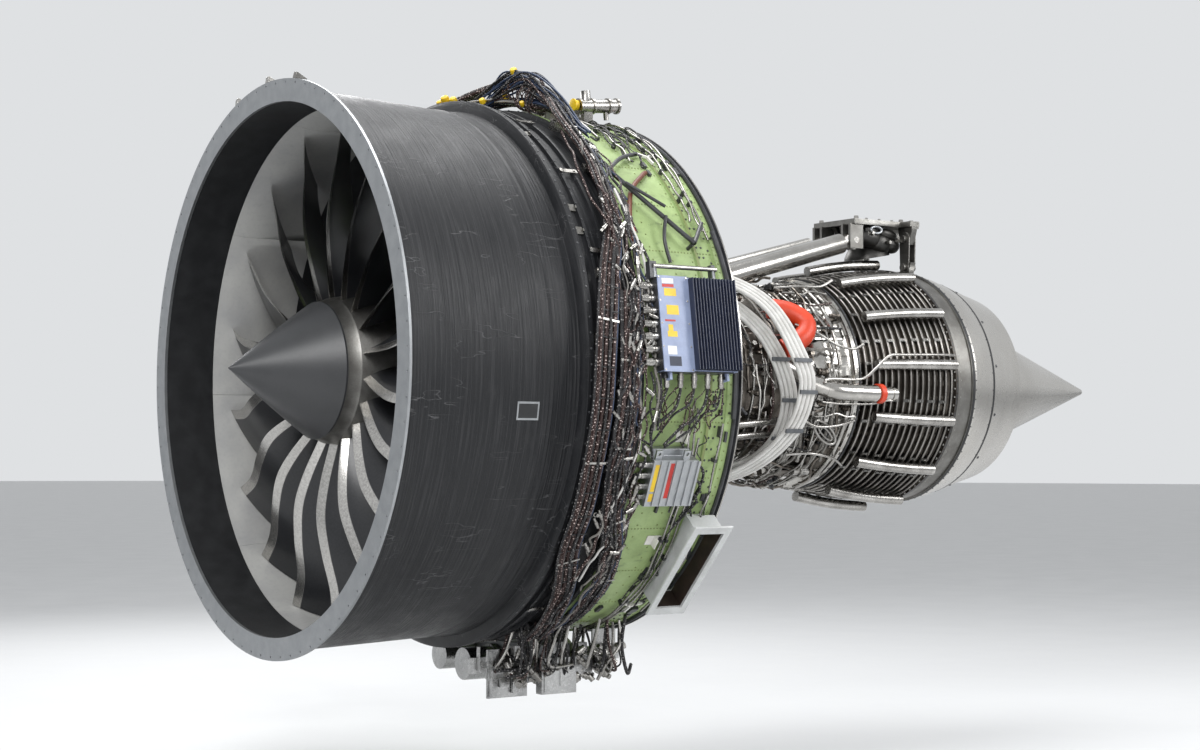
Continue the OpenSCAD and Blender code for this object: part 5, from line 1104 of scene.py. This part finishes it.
def low_plugs(phi, x, rng, tails, shells, thin):
    """Plugs under the control box, with tails that sink to the ring, and loose wires."""
    for k in range(5):
        phi_k, x_k = phi + math.degrees((S.control_h / 2 + 8) / S.control_r), x + 52 + 88 * k
        base = place(phi_k, S.control_r + 34, x_k, [0, 0, 0])
        ahead = place(phi_k, 0, 0, [0, 1, 0]) / MM
        spots = base + ahead * np.array([-12, 0, 1, 26, 27, 46, 47, 66])[:, None] * MM
        shells.append(sweep(spots, 0.019, 16, [0.8, 0.8, 1, 1, 0.82, 0.82, 0.95, 0.7]))
        pts = [[phi_k + 2.2, S.control_r + 34, x_k], [phi_k + 3.2, S.control_r + 36, x_k],
               [phi_k + 5 + rng.uniform(0, 1.5), S.control_r + 30, x_k - rng.uniform(10, 40)],
               [phi_k + 7 + rng.uniform(0, 2), S.control_r + 12, x_k - rng.uniform(50, 110)],
               [phi_k + 9 + rng.uniform(0, 3), S.control_r, x_k - rng.uniform(110, 190)],
               [phi_k + 12 + rng.uniform(0, 4), S.control_r, max(x_k - rng.uniform(190, 300), 1470)]]
        tails.append(sweep(route(pts, 6), rng.uniform(5.5, 9) * MM, 10))
        for j in range(3):
            pts = [[phi_k + 2, S.control_r + 34, x_k + 8 * j]]
            for step in range(6):
                pts.append([pts[-1][0] + rng.uniform(0.6, 2.4), S.control_r + rng.uniform(-20, 40),
                            np.clip(pts[-1][2] + rng.uniform(-46, 30), 1470, 1960)])
            thin.append(sweep(route(pts, 5), rng.uniform(2.4, 4.6) * MM, 6))


def ribbed_plugs(rng, tails, shells):
    """Plugs fore and aft of the ribbed box with their tails."""
    for k in range(4):
        phi_k = S.ribbed_phi + math.degrees((-90 + 60 * k) / 1534)
        pts = [[phi_k, 1534, 1402], [phi_k, 1534, 1385], [phi_k + rng.uniform(-2, 2), 1540, 1360],
               [phi_k + rng.uniform(-4, 4), 1542, 1330], [phi_k + rng.uniform(-6, 2), 1536, 1300]]
        tails.append(sweep(route(pts, 6), 0.0095, 10))
        line = np.array([1444, 1442, 1424, 1423, 1410, 1396, 1392])
        shells.append(sweep(polar(phi_k, 1.534, line * MM), 0.0195, 16, [0.9, 1, 1, 0.85, 0.98, 0.8, 0.5]))
    for k in range(3):
        phi_k = S.ribbed_phi + math.degrees((-80 + 80 * k) / 1534)
        line = np.array([1751, 1753, 1774, 1775, 1792, 1796])
        shells.append(sweep(polar(phi_k, 1.532, line * MM), 0.018, 16, [0.8, 1, 1, 0.85, 0.85, 0.6]))
        pts = [[phi_k, 1532, 1790], [phi_k + 0.4, 1534, 1816], [phi_k + 2, 1528, 1840],
               [phi_k + 5, 1512, 1846 - 20 * k], [phi_k + 9, 1500, 1820 - 30 * k]]
        tails.append(sweep(route(pts, 6), 0.0075, 10))


class ENGINE_OT_control_boxes(bpy.types.Operator):
    """Build the control box, the ribbed box and their plugs"""
    bl_idname = "engine.control_boxes"
    bl_label = "Control boxes"

    def execute(self, context):
        """Boxes with rounded edges, plain colour fields and screws on the face plate, and plugs with rings."""
        softened("control_case", "control_box", "box_paint", 0.003)
        softened("control_fins", "heat_sink", "fin_paint", 0.0008)
        softened("lifting_bar", "box_handle", "machined_aluminium", 0.0)
        softened("ribbed_case", "ribbed_box", "machined_aluminium", 0.0015)
        phi, r, x = S.control_phi, S.control_r + S.control_t, S.control_x
        box_faces(phi, r, x)
        softened("plug_bodies", "connectors", "bright_steel", 0.0006)
        tails, shells, thin = [], [], []
        rng = np.random.default_rng(8)
        fore_plugs(phi, x, rng, tails, shells, thin)
        low_plugs(phi, x, rng, tails, shells, thin)
        ribbed_plugs(rng, tails, shells)
        put_parts("plug_tails", tails, "black_braid", mapped=True)
        put_parts("plug_shells", shells, "bright_steel")
        put_parts("plug_wires", thin, "brown_braid", mapped=True)
        bars = [slabs(phi, S.control_r, x, [[18, -330, -30, 34, 90, 44], [18, -330, 372, 30, 88, 26],
                                            [4, 246, 20, 34, 30, 40], [4, 246, 400, 34, 30, 40],
                                            [2, -242, -6, 72, 484, 5], [2, 245.6, 8, 70, 4, 440],
                                            [2, -249.6, 8, 70, 4, 440]])]
        put_parts("box_brackets", bars, "dark_anodised")
        return {"FINISHED"}


OUTER_ROUTE = [[50, 584, 2060], [50, 590, 2100], [39, 690, 2320], [41, 780, 2640], [56, 772, 2930],
               [82, 755, 3088], [96, 750, 3130], [114, 745, 3075], [134, 720, 2940], [151, 690, 2740],
               [163, 630, 2420], [166, 588, 2100], [166, 584, 2060]]
INNER_ROUTE = [[66, 584, 2060], [66, 588, 2100], [54, 640, 2340], [46, 680, 2650], [61, 660, 2880],
               [80, 645, 3010], [101, 650, 3085], [122, 650, 3075], [140, 650, 2970], [149, 640, 2760],
               [152, 610, 2420], [152, 588, 2100], [152, 584, 2060]]


def bleed_tubes():
    """Bleed duct: one bent tube with a narrower end, two beads and an orange band."""
    path = route([[80, 560, 3070], [86, 580, 3170], [92, 630, 3280], [95.5, 700, 3400], [96, 724, 3560],
                  [96, 746, 3720]], 12)
    duct = [sweep(path, 0.052, 36)]
    duct.append(sweep(route([[96, 746, 3720], [96, 746, 3790], [96, 746, 3836]], 4), 0.042, 36))
    for x in (3300, 3360):
        k = int(np.argmin(np.abs(path[:, 0] - x * MM)))
        duct.append(sweep(path[k:k + 3], 0.0555, 36))
    duct.append(sweep(route([[96, 746, 3800], [96, 746, 3806], [96, 746, 3812]], 2), 0.047, 36))
    put_parts("bleed_tube", duct, "polished_metal", "root", ["bleed_duct"], mapped=True)
    collar = sweep(route([[96, 746, 3690], [96, 746, 3708], [96, 746, 3726]], 2), 0.0605, 36)
    put_parts("bleed_band", [collar], "orange_rubber")


def core_lines(rng):
    """Small pipes and cables on seeded curves, every third along the core and the others round it."""
    for finish, count, radius in (("bright_steel", 84, 0.0062), ("hot_metal", 46, 0.0085),
                                  ("steel_braid", 26, 0.008), ("black_braid", 26, 0.0055),
                                  ("brown_braid", 16, 0.0065)):
        group = []
        for k in range(count):
            x0 = rng.uniform(2440, 3560) if k % 4 else rng.uniform(3140, 3580)
            deep = rng.uniform(4, 60)
            if k % 3 == 0:
                n = 7
                reach = rng.uniform(90, 260)
                x = np.clip(x0 + np.linspace(-reach, reach, n), 2400, 3600)
                phi = rng.uniform(0, 360) + np.cumsum(rng.uniform(-1.8, 1.8, n))
            else:
                n = 9
                phi = rng.uniform(0, 360) + np.linspace(0, rng.uniform(14, 70), n)
                x = np.clip(x0 + np.cumsum(rng.uniform(-22, 22, n)), 2400, 3600)
            r = core_cover(x) + deep + rng.uniform(-4, 14, n)
            group.append(sweep(route(np.stack([phi, r, x], -1), 4), radius * rng.uniform(0.7, 1.3), 6))
        put_parts("core_lines_" + finish, group, finish, mapped=True)


def core_units(rng):
    """Valves, unions and small actuators: stepped cylinders that lie round or along the core."""
    shapes = {"bright_steel": [], "hot_metal": [], "dark_anodised": []}
    keys = list(shapes)
    along = np.array([-1, -0.97, -0.5, -0.48, -0.2, -0.18, 0.5, 0.52, 0.97, 1])
    steps = [0.5, 0.7, 0.7, 1.0, 1.0, 0.8, 0.8, 1.0, 1.0, 0.8]
    for k in range(120):
        x, phi = rng.uniform(2480, 3560) if k % 3 else rng.uniform(3200, 3580), rng.uniform(0, 360)
        size, half = rng.uniform(8, 24), rng.uniform(18, 52)
        base = place(phi, float(core_cover(x)) + rng.uniform(12, 44), x, [0, 0, 0])
        ahead = place(phi, 0, 0, [[0, 1, 0.15], [0.1, 0.15, 1], [0.5, 0.6, 0.5]][k % 3]) / MM
        ahead = ahead / np.linalg.norm(ahead)
        spots = base + ahead * along[:, None] * half * MM
        shapes[keys[k % 3]].append(sweep(spots, size * MM, 9, steps))
    for finish, group in shapes.items():
        put_parts("core_units_" + finish, group, finish)


def core_brackets(rng):
    """Small plates and boxes that stand on the core."""
    plates = []
    for k in range(110):
        x, phi = rng.uniform(2480, 3590) if k % 3 else rng.uniform(3160, 3590), rng.uniform(0, 360)
        a, b, h = rng.uniform(14, 54), rng.uniform(3, 40), rng.uniform(3, 42)
        a, b = (a, b) if k % 2 else (b, a)
        plates.append(slabs(phi, float(core_cover(x)), x, [[-6, -a / 2, -b / 2, h + 6, a, b]]))
    put_parts("core_brackets", plates, "hot_metal")


def core_sheets():
    """Sheet parts of the core: panels, a scalloped flange and a slotted bracket."""
    # Sheet panels with beaded edges: bright ones beside the orange cap, dull ones round the rest
    bright = [patch(50, 57.5, 607, 622, 3316, 3596), patch(58.5, 66, 607, 622, 3316, 3596)]
    dull = [patch(a, a + w, 607, 621, 3320, 3590) for a, w in (
        (4, 9), (15, 10), (28, 8), (128, 9), (139, 12), (154, 9), (200, 12), (216, 12), (236, 14), (262, 10),
        (300, 14), (330, 12))]
    put_parts("bright_panels", bright, "polished_metal")
    put_parts("dull_panels", dull, "hot_metal")
    # Scalloped flange: teeth side by side round the joint, and a slotted bracket as a bent strip
    phi = np.arange(0, 360, 3.0)
    teeth = [slabs(p, 628, 3602, [[0, -11, 0, 26 if k % 4 else 34, 22, 14]]) for k, p in enumerate(phi)]
    put_parts("toothed_flange", teeth, "case_metal")
    t = np.linspace(0, 2 * np.pi, 40)
    rims = []
    for r, wide, lean, reach, slant, size, sides in ((676.0, 3.2, 6, 105, 20, 9, 10),
                                                     (680.0, 1.4, 4, 70, 10, 6, 8)):
        phi = 118 + wide * np.sin(t) + lean * np.cos(t)
        x = 3400 + reach * np.cos(t) - slant * np.sin(t)
        rims.append(sweep(route(np.stack([phi, np.full(40, r), x], -1), 2), size * MM, sides))
    put_parts("slotted_bracket", rims, "bright_steel")


def feed_tubes():
    """Feed pipes from the core to the cooling rings, each a swept circle."""
    feeds = [sweep(route(points, 8), size * MM, 12) for points, size in (
        ([[92, 716, 3300], [89.7, 708, 3340], [89.2, 720, 3590], [84, 744, 3690], [78.3, 768, 3790],
          [77.8, 776, 3900], [77.4, 786, 4160], [77.2, 780, 4330]], 9),
        ([[101, 700, 3300], [101.5, 712, 3420], [101, 740, 3640], [99, 764, 3760], [99, 770, 3800]], 7),
        ([[60, 668, 3180], [66, 700, 3300], [72, 706, 3420], [74, 700, 3560], [72, 720, 3640]], 8),
        ([[110, 660, 3180], [114, 690, 3300], [113, 700, 3460], [110, 706, 3580]], 8),
        ([[26, 640, 3260], [30, 680, 3420], [32, 700, 3560], [30, 735, 3660]], 9),
        ([[134, 650, 3200], [130, 690, 3340], [132, 704, 3520], [136, 716, 3620]], 8))]
    put_parts("feed_tubes", feeds, "bright_steel")


class ENGINE_OT_core_pipes(bpy.types.Operator):
    """Build the white pipe bundles, the bleed duct and the small pipes of the core"""
    bl_idname = "engine.core_pipes"
    bl_label = "Core pipes"

    def execute(self, context):
        """White pipes swept side by side; small pipes go round or along the core with seeded bends."""
        white = []
        for points in (OUTER_ROUTE, INNER_ROUTE):
            path = route(points, 10)
            white += [sweep(beside(path, 0.032 * (k - 1.5)), 0.0135, 10) for k in range(4)]
        put_parts("white_pipe_set", white, "white_sleeve", "root", ["white_pipes"], mapped=True)
        softened("pipe_clamp_set", "pipe_clamps", "clamp_grey", 0.001)
        bleed_tubes()
        softened("blanking_cap", "orange_cap", "orange_rubber", 0.0, 50)
        softened("core_pipe_solids", "core_pipes", "bright_steel", 0.0)
        rng = np.random.default_rng(21)
        core_lines(rng)
        core_units(rng)
        core_brackets(rng)
        core_sheets()
        feed_tubes()
        return {"FINISHED"}


def core_cover(x):
    """Radius in mm that the small parts of the core lie on at a distance aft, clear of the cases below."""
    return np.interp(x, [2380, 2500, 2900, 3150, 3290, 3400, 3600], [440, 486, 520, 560, 602, 606, 624])


def lpt_outer(x):
    """Outer radius of the turbine case at a distance aft, in mm."""
    return np.where(x < 4000, S.lpt_front_r + 60 * (x - 3644) / 356, 710 + 28 * (x - 4000) / 336)


class ENGINE_OT_turbine(bpy.types.Operator):
    """Build the turbine case, cooling rings, feed ducts and flange bolts"""
    bl_idname = "engine.turbine"
    bl_label = "Turbine"

    def execute(self, context):
        """Each cooling ring is a turned flat tube; the bolts of each flange stand in a circle."""
        gaps = np.linspace(S.lpt_x + 54, S.trf_x - 46, S.rings)
        section = np.array([[0, -5], [4, -7], [15, -7.5], [19, -5.5], [20.5, 0], [19, 5.5], [15, 7.5], [4, 7],
                            [0, 5]])
        turn = 160
        phi = np.linspace(0, 360, turn, endpoint=False)[None]
        rings = []
        for x in gaps:
            line = (section + [float(lpt_outer(x)) + 0.6, x]) * MM
            points = polar(phi, line[:, :1] + 0 * phi, line[:, 1:] + 0 * phi).reshape(-1, 3)
            rings.append((points, [grid_faces(len(section), turn, True, True)], None))
        put_parts("cooling_ring_set", rings, "ring_steel", "root", ["cooling_rings"], 50)
        softened("feed_duct_set", "feed_ducts", "bright_steel", 0.0)
        rng = np.random.default_rng(12)
        strips, heads = [], []
        for k in range(12):
            for side in (9, 21):
                phi = 30.5 + 30 * k + side + rng.uniform(-1, 1)
                for a, b in zip(gaps[:-1:2], gaps[1::2]):
                    r = float(lpt_outer((a + b) / 2)) + 20.5
                    strips.append(slabs(phi, r, a, [[-3, -9, -9, 4.5, 18, b - a + 18]]))
                    spot, out = place(phi, r + 1.5, (a + b) / 2, [0, 0, 0]), polar(phi, 1.0, 0.0)
                    heads.append(studs(spot, out, 0.006, 0.006, 6))
        put_parts("ring_strips", strips, "case_metal")
        put_parts("ring_strip_bolts", heads, "bright_steel")
        for x, r0, r1 in ((S.lpt_x + 4, 660, 668), (S.trf_x - 14, 742, 764)):
            turned("dark_joint_%d" % x, [[r0, x], [r1, x], [r1, x + 9], [r0, x + 9]], "dark_anodised", steps=180)
        # The rear turbine case takes dark_case, a painted shade for the gaps between the cooling rings
        for node, finish in (("turbine_case_rear", "dark_case"), ("centre_frame", "polished_metal"),
                             ("turbine_case_front", "hot_metal"), ("combustor_case", "hot_metal"),
                             ("compressor_case", "case_metal"), ("rear_frame", "frame_metal"),
                             ("splitter_case", "case_metal"), ("frame_struts", "frame_metal")):
            softened(node + "_skin", node, finish, 0.0)
        bolts = []
        for x, r, count in ((3298, 532, 48), (3632, 652, 72), (4350, 754, 90), (4372, 754, 90), (3120, 494, 44)):
            places, out = ring_places(count, r, x, 0.7)
            bolts.append(studs(places + AFT * 0.008, AFT, 0.009, 0.008, 6, 0.95))
            bolts.append(studs(places - AFT * 0.014, FORE, 0.009, 0.008, 6, 0.95))
        put_parts("flange_bolts", bolts, "bright_steel")
        return {"FINISHED"}


class ENGINE_OT_exhaust(bpy.types.Operator):
    """Build the exhaust sleeve and plug"""
    bl_idname = "engine.exhaust"
    bl_label = "Exhaust"

    def execute(self, context):
        """Turned sheets with the seams of the solids, and small screws along the seams."""
        f, m = S.seam_front_r, S.seam_mid_r
        front, rim, end = S.seam_front_x + 0.3, S.rim_r, S.rim_x
        sleeve = [[f - 4, front], [f + 3, front], [f + 3, 4528], [f - 2, 4532], [f - 9, 4576], [m + 30, 4620],
                  [m + 17, 4672], [m + 3, 4724], [m - 5, 4725], [m - 5, 4735], [m, 4736], [m - 16, 4800],
                  [m - 34, 4864], [rim + 32, 4926], [rim + 17, 4992], [rim, end], [rim - 6, end],
                  [rim + 26, 4924], [m - 10, 4736], [m - 10, 4720], [m + 24, 4618], [f - 10, 4538],
                  [f - 24, 4534], [f - 24, front]]
        turned("sleeve_shells", sleeve, "sleeve_metal", "exhaust_sleeve", steps=240, sharp=25)
        softened("plug_cone", "exhaust_plug", "sleeve_metal", 0.0)
        heads = []
        for x, r, count, size in ((4521, f + 3, 80, 0.0045), (4764, m - 6, 14, 0.010), (4716, m + 5, 40, 0.004)):
            places, out = ring_places(count, r - 0.3, x, 3.0)
            heads.append(studs(places, out, size, 0.003, 8))
        put_parts("sleeve_screws", heads, "dark_anodised")
        seams = [[[f - 8, 4495], [f + 4.6, 4495], [f + 4.6, 4513.5], [f - 8, 4513.5]],
                 [[m - 7, 4720], [m + 5.4, 4720], [m - 0.2, 4739], [m - 7, 4739]]]
        for number, line in enumerate(seams):
            turned("dark_seam_%d" % number, line, "black_liner", steps=240)
        return {"FINISHED"}


class ENGINE_OT_mounts(bpy.types.Operator):
    """Build the mounts, thrust links and hangers"""
    bl_idname = "engine.mounts"
    bl_label = "Mounts and links"

    def execute(self, context):
        """Smooth copies with rounded edges, as the forged parts have. The forging between them is a column swept
        with a narrower neck, and lumps whose radius follows an ellipse."""
        softened("aft_mount_body", "aft_mount", "frame_metal", 0.004)
        softened("hanger_set", "aft_mount_hangers", "frame_metal", 0.0015)
        bolts = []
        for xs, y, radius, height in (((4040, 4430, 4520), 170, 0.016, 0.022),
                                      ((4120, 4230, 4340), 178, 0.010, 0.012)):
            places = np.array([[x, side * y, S.mount_top - 0.5] for x in xs for side in (-1, 1)]) * MM
            bolts.append(studs(places, [0, 0, 1.0], radius, height, 6, 0.95))
        put_parts("mount_bolts", bolts, "bright_steel")
        ends = (1 - np.cos(np.linspace(0, np.pi, 9))) / 2
        swell = np.sqrt(np.clip(1 - (2 * ends - 1) ** 2, 0.02, 1))
        neck = 1 - 0.3 * np.sin(np.pi * np.linspace(0, 1, 13)) ** 2
        stem = np.array([4240, -10, 1036]) + np.linspace(0, 1, 13)[:, None] * [36, 0, -196]
        lumps = [sweep(stem * MM, 150 * MM, 40, neck)]
        for x, y, z, half, size in ((4190, -120, 960, 90, 64), (4290, -110, 930, 80, 74),
                                    (4370, -130, 920, 60, 54), (4240, 60, 950, 120, 70),
                                    (4180, -150, 1000, 60, 34), (4330, -150, 985, 70, 36)):
            spots = np.array([x, y, z]) + (2 * ends - 1)[:, None] * [half, 6, -half * 0.16]
            lumps.append(sweep(spots * MM, size * MM, 18, 0.35 + 0.65 * swell))
        put_parts("mount_forging", lumps, "dark_forging")
        a = np.linspace(0, 2 * np.pi, 33)
        slot = np.stack([4200 + 46 * np.cos(a), np.full(33, -184.0), 1006 + 22 * np.sin(a)], -1)
        put_parts("mount_slot", [sweep(slot * MM, 0.009, 10)], "machined_aluminium")
        spots = np.array([[4165, -182, 984], [4300, -196, 930], [4380, -186, 945]]) * MM
        put_parts("mount_pins", [studs(spots, [0, -1.0, 0], 0.018, 0.016, 6)], "bright_steel")
        softened("link_left", "thrust_link_left", "polished_metal", 0.0)
        softened("link_right", "thrust_link_right", "polished_metal", 0.0)
        softened("front_mount_body", "front_mount", "frame_metal", 0.004)
        return {"FINISHED"}


# Plates and boxes below the case: corner (aft, away, up) and edges in mm
UNIT_BOXES = (
    (1180, -346, -1700, 270, 8, 60), (1186, -352, -1790, 14, 24, 250), (1250, -352, -1740, 60, 16, 60),
    (1330, -356, -1776, 40, 20, 90), (1456, -486, -1770, 60, 10, 150), (1560, -486, -1740, 90, 8, 110),
    (1690, -430, -1676, 110, 14, 60), (1710, -440, -1600, 60, 60, 90), (1850, -400, -1640, 90, 90, 70),
    (1960, -380, -1620, 70, 70, 90), (1880, -330, -1560, 160, 12, 110), (1400, -440, -1600, 24, 24, 130),
    (1300, -420, -1560, 70, 40, 50), (1530, -450, -1560, 90, 50, 60), (1110, -350, -1640, 10, 20, 130),
)


def unit_fittings(rng):
    """Stepped cylinders among the units below the case, on seeded short lines."""
    shiny = []
    for k in range(56):
        base = np.array([rng.uniform(1.30, 2.02), rng.uniform(-0.50, -0.34), rng.uniform(-1.72, -1.54)])
        ahead = rng.uniform(-1, 1, 3) * [1, 0.3, 0.6]
        ahead = ahead / np.linalg.norm(ahead)
        half = rng.uniform(0.02, 0.06)
        spots = base + ahead * np.array([-1, -0.97, -0.3, -0.28, 0.3, 0.32, 0.97, 1])[:, None] * half
        shiny.append(sweep(spots, rng.uniform(0.012, 0.034), 12, [0.6, 0.75, 0.75, 1, 1, 0.8, 0.8, 0.6]))
    put_parts("unit_fittings", shiny, "bright_steel")


def unit_lines(rng):
    """Thin lines that drop from the case to the units on smooth curves."""
    for finish, count, size in (("black_braid", 26, 7.5), ("bright_steel", 14, 8.5), ("brown_braid", 8, 7.0)):
        lines = []
        for k in range(count):
            x, y = rng.uniform(1.24, 1.92), rng.uniform(-0.56, -0.34)
            top = [x, y * 1.1, -math.sqrt(1.49 ** 2 - (y * 1.1) ** 2)]
            low = [x + rng.uniform(-0.08, 0.08), y - rng.uniform(-0.02, 0.04), rng.uniform(-1.70, -1.60)]
            stop = [x + rng.uniform(-0.14, 0.14), y + 0.06, rng.uniform(-1.68, -1.56)]
            middle = (np.array(top) + low) / 2 + rng.uniform(-0.03, 0.03, 3)
            lines.append(sweep(smooth_line([top, middle, low, stop], 9), size * rng.uniform(0.6, 1.4) * MM, 8))
        put_parts("unit_lines_" + finish, lines, finish, mapped=True)


class ENGINE_OT_accessories(bpy.types.Operator):
    """Build the gearbox, tank, start valve and outlet duct"""
    bl_idname = "engine.accessories"
    bl_label = "Accessories"

    def execute(self, context):
        """Smooth copies with rounded edges; the duct's inside is lined with near-black sheets, a painted shade.
        Fittings are stepped circles swept on seeded short lines, and the thin lines drop from the case to the units
        on smooth curves."""
        softened("gearbox_case", "accessory_gearbox", "cast_aluminium", 0.006)
        softened("gearbox_unit_set", "gearbox_units", "foil_sheet", 0.002)
        softened("tank_body", "oil_tank", "grey_paint", 0.002)
        softened("outlet_duct", "duct_scoop", "grey_paint", 0.002)
        # Painted shade: thin near-black sheets line the walls of the outlet duct's mouth, standing in for the shade
        # inside it
        rows = [[6, -281.6, 1846.4, 110, 2, 173], [6, 279.6, 1846.4, 110, 2, 173], [6, -281, 1846.4, 110, 562, 2],
                [6, -281, 2017.4, 110, 562, 2], [12, -281, 1848, 3, 562, 60]]
        put_parts("duct_painted_shade", [slabs(132.5, S.frame_r, 0, rows)], "dark_rubber")
        softened("valve_body", "start_valve", "bright_steel", 0.0015)
        rng = np.random.default_rng(17)
        nose = np.array([1.742, -0.330, 1.552])
        spots = nose + FORE * np.array([-0.022, 0.0, 0.002, 0.010, 0.013])[:, None]
        put_parts("valve_cap", [sweep(spots, 0.036, 20, [0.8, 0.8, 1.0, 1.0, 0.7])], "yellow_plastic")
        rows = np.array(UNIT_BOXES, float) * MM
        edges = [rows[:, 3 + k:4 + k] * np.eye(3)[k] for k in range(3)]
        put_parts("unit_plates", [blocks(rows[:, :3], *edges)], "foil_sheet")
        unit_fittings(rng)
        unit_lines(rng)
        return {"FINISHED"}


def stage_air():
    """Background: pale where the camera sees it or a surface mirrors it, softer where it only lights."""
    world = bpy.data.worlds.new("air")
    bpy.context.scene.world = world
    world.use_nodes = True
    tree = world.node_tree
    tree.nodes.clear()
    path = add_node(tree, "ShaderNodeLightPath")
    seen = add_node(tree, "ShaderNodeMath", {"operation": "MAXIMUM"},
                    {0: path.outputs["Is Camera Ray"], 1: path.outputs["Is Glossy Ray"]})
    seen = add_node(tree, "ShaderNodeMath", {"operation": "MAXIMUM"},
                    {0: seen.outputs[0], 1: path.outputs["Is Transmission Ray"]})
    soft = add_node(tree, "ShaderNodeBackground", {"Color": linear("#f4f6f8"), "Strength": 0.45})
    bright = add_node(tree, "ShaderNodeBackground", {"Color": tuple(colours().air), "Strength": 1.0})
    blend = add_node(tree, "ShaderNodeMixShader", None,
                     {0: seen.outputs[0], 1: soft.outputs[0], 2: bright.outputs[0]})
    add_node(tree, "ShaderNodeOutputWorld", None, {0: blend.outputs[0]})


def stage_lamps():
    """Large round lamps, each turned to its aim."""
    for name, spot, aim, size, power in (
            ("lamp_key", (-6.0, -7.5, 6.5), (1.5, 0, 0), 6.0, 900),
            ("lamp_top", (2.5, 0.5, 8.0), (2.5, 0, 0), 7.0, 700),
            ("lamp_side", (9.0, -8.0, 4.5), (3.0, 0, 0), 5.0, 600),
            ("lamp_back", (3.0, 9.0, 5.5), (2.5, 0, 0), 6.0, 600),
            ("lamp_low", (-1.0, -9.5, 0.2), (1.5, 0, -0.4), 5.0, 120)):
        lamp = bpy.data.lights.new(name, "AREA")
        lamp.shape, lamp.size, lamp.energy = "DISK", size, power
        piece = bpy.data.objects.new(name, lamp)
        bpy.context.scene.collection.objects.link(piece)
        look = np.array(aim, float) - np.array(spot, float)
        piece.rotation_euler = Vector(look).to_track_quat("-Z", "Y").to_euler()
        piece.location = spot


class ENGINE_OT_stage(bpy.types.Operator):
    """Build the floor, the lights and the camera"""
    bl_idname = "engine.stage"
    bl_label = "Stage"

    def execute(self, context):
        """A round floor, a pale background, large soft lamps and the camera at the picture's angle."""
        turn = np.linspace(0, 2 * np.pi, 96, endpoint=False)
        radii = np.array([0.0001, 6.0, 14.0, 40.0, 120.0])
        disc = np.stack([radii[:, None] * np.cos(turn) + 2.5, radii[:, None] * np.sin(turn),
                         np.full((5, 96), -sizes().floor_drop)], -1).reshape(-1, 3)
        mesh = bpy.data.meshes.new("floor")
        mesh.from_pydata(disc.tolist(), [], grid_faces(5, 96, wrap_cols=True).tolist())
        mesh.update()
        floor = bpy.data.objects.new("floor", mesh)
        bpy.context.scene.collection.objects.link(floor)
        material, tree, shader = new_finish("floor_coat")
        speck = mottle(tree, 0.6, (1, 1, 1), 4.0, 0.6)
        shader.inputs["Base Color"].default_value = colours().floor
        tree.links.new(ramp(tree, speck, [(0.3, 0.32), (0.7, 0.42)]), shader.inputs["Roughness"])
        mesh.materials.append(material)
        stage_air()
        stage_lamps()
        bpy.context.scene.view_settings.view_transform = "Standard"
        place_camera()
        return {"FINISHED"}


def place_camera():
    """Camera where the picture was taken from: place, turn, tilt, roll and field of view of the fitted view."""
    spot = (-4.5982, -9.8126, -0.4425)
    a, e, roll = (math.radians(v) for v in (34.5387, 2.2271, 0.1529))
    ahead = np.array([math.cos(e) * math.sin(a), math.cos(e) * math.cos(a), math.sin(e)])
    right = np.array([math.cos(a), -math.sin(a), 0.0])
    up = np.cross(right, ahead)
    x = right * math.cos(roll) + up * math.sin(roll)
    y = -right * math.sin(roll) + up * math.cos(roll)
    lens = bpy.data.cameras.new("view")
    lens.sensor_width, lens.lens = 36.0, 36.0 * 2000 / 1200
    lens.clip_end = 400
    camera = bpy.data.objects.new("view", lens)
    bpy.context.scene.collection.objects.link(camera)
    turn = np.eye(4)
    turn[:3, 0], turn[:3, 1], turn[:3, 2], turn[:3, 3] = x, y, -ahead, spot
    camera.matrix_world = Matrix(turn.tolist())
    bpy.context.scene.camera = camera


STEPS = (ENGINE_OT_stage, ENGINE_OT_finishes, ENGINE_OT_inlet, ENGINE_OT_fan_blades, ENGINE_OT_fan_case,
         ENGINE_OT_frame_ring, ENGINE_OT_harness, ENGINE_OT_control_boxes, ENGINE_OT_core_pipes,
         ENGINE_OT_turbine, ENGINE_OT_exhaust, ENGINE_OT_mounts, ENGINE_OT_accessories)


class ENGINE_PT_panel(bpy.types.Panel):
    """Lists the steps that dress the engine"""
    bl_label = "Engine"
    bl_idname = "ENGINE_PT_panel"
    bl_space_type = "VIEW_3D"
    bl_region_type = "UI"
    bl_category = "Engine"

    def draw(self, context):
        """One button for each step, then the settings."""
        for step in STEPS:
            self.layout.operator(step.bl_idname)
        for group in (context.scene.engine_sizes, context.scene.engine_colours):
            for key in group.bl_rna.properties.keys():
                if key not in ("rna_type", "name"):
                    self.layout.prop(group, key)


CLASSES = (EngineSizes, EngineColours, *STEPS, ENGINE_PT_panel)


def register():
    """Registers the classes and hangs the settings on the scene."""
    for kind in CLASSES:
        bpy.utils.register_class(kind)
    bpy.types.Scene.engine_sizes = bpy.props.PointerProperty(type=EngineSizes)
    bpy.types.Scene.engine_colours = bpy.props.PointerProperty(type=EngineColours)


def unregister():
    """Takes the settings and the classes away again."""
    del bpy.types.Scene.engine_sizes
    del bpy.types.Scene.engine_colours
    for kind in reversed(CLASSES):
        bpy.utils.unregister_class(kind)


def main():
    """Builds the stage and every piece in order."""
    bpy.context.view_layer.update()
    register()
    for step in STEPS:
        group, name = step.bl_idname.split(".")
        getattr(getattr(bpy.ops, group), name)()


if __name__ == "__main__":
    main()
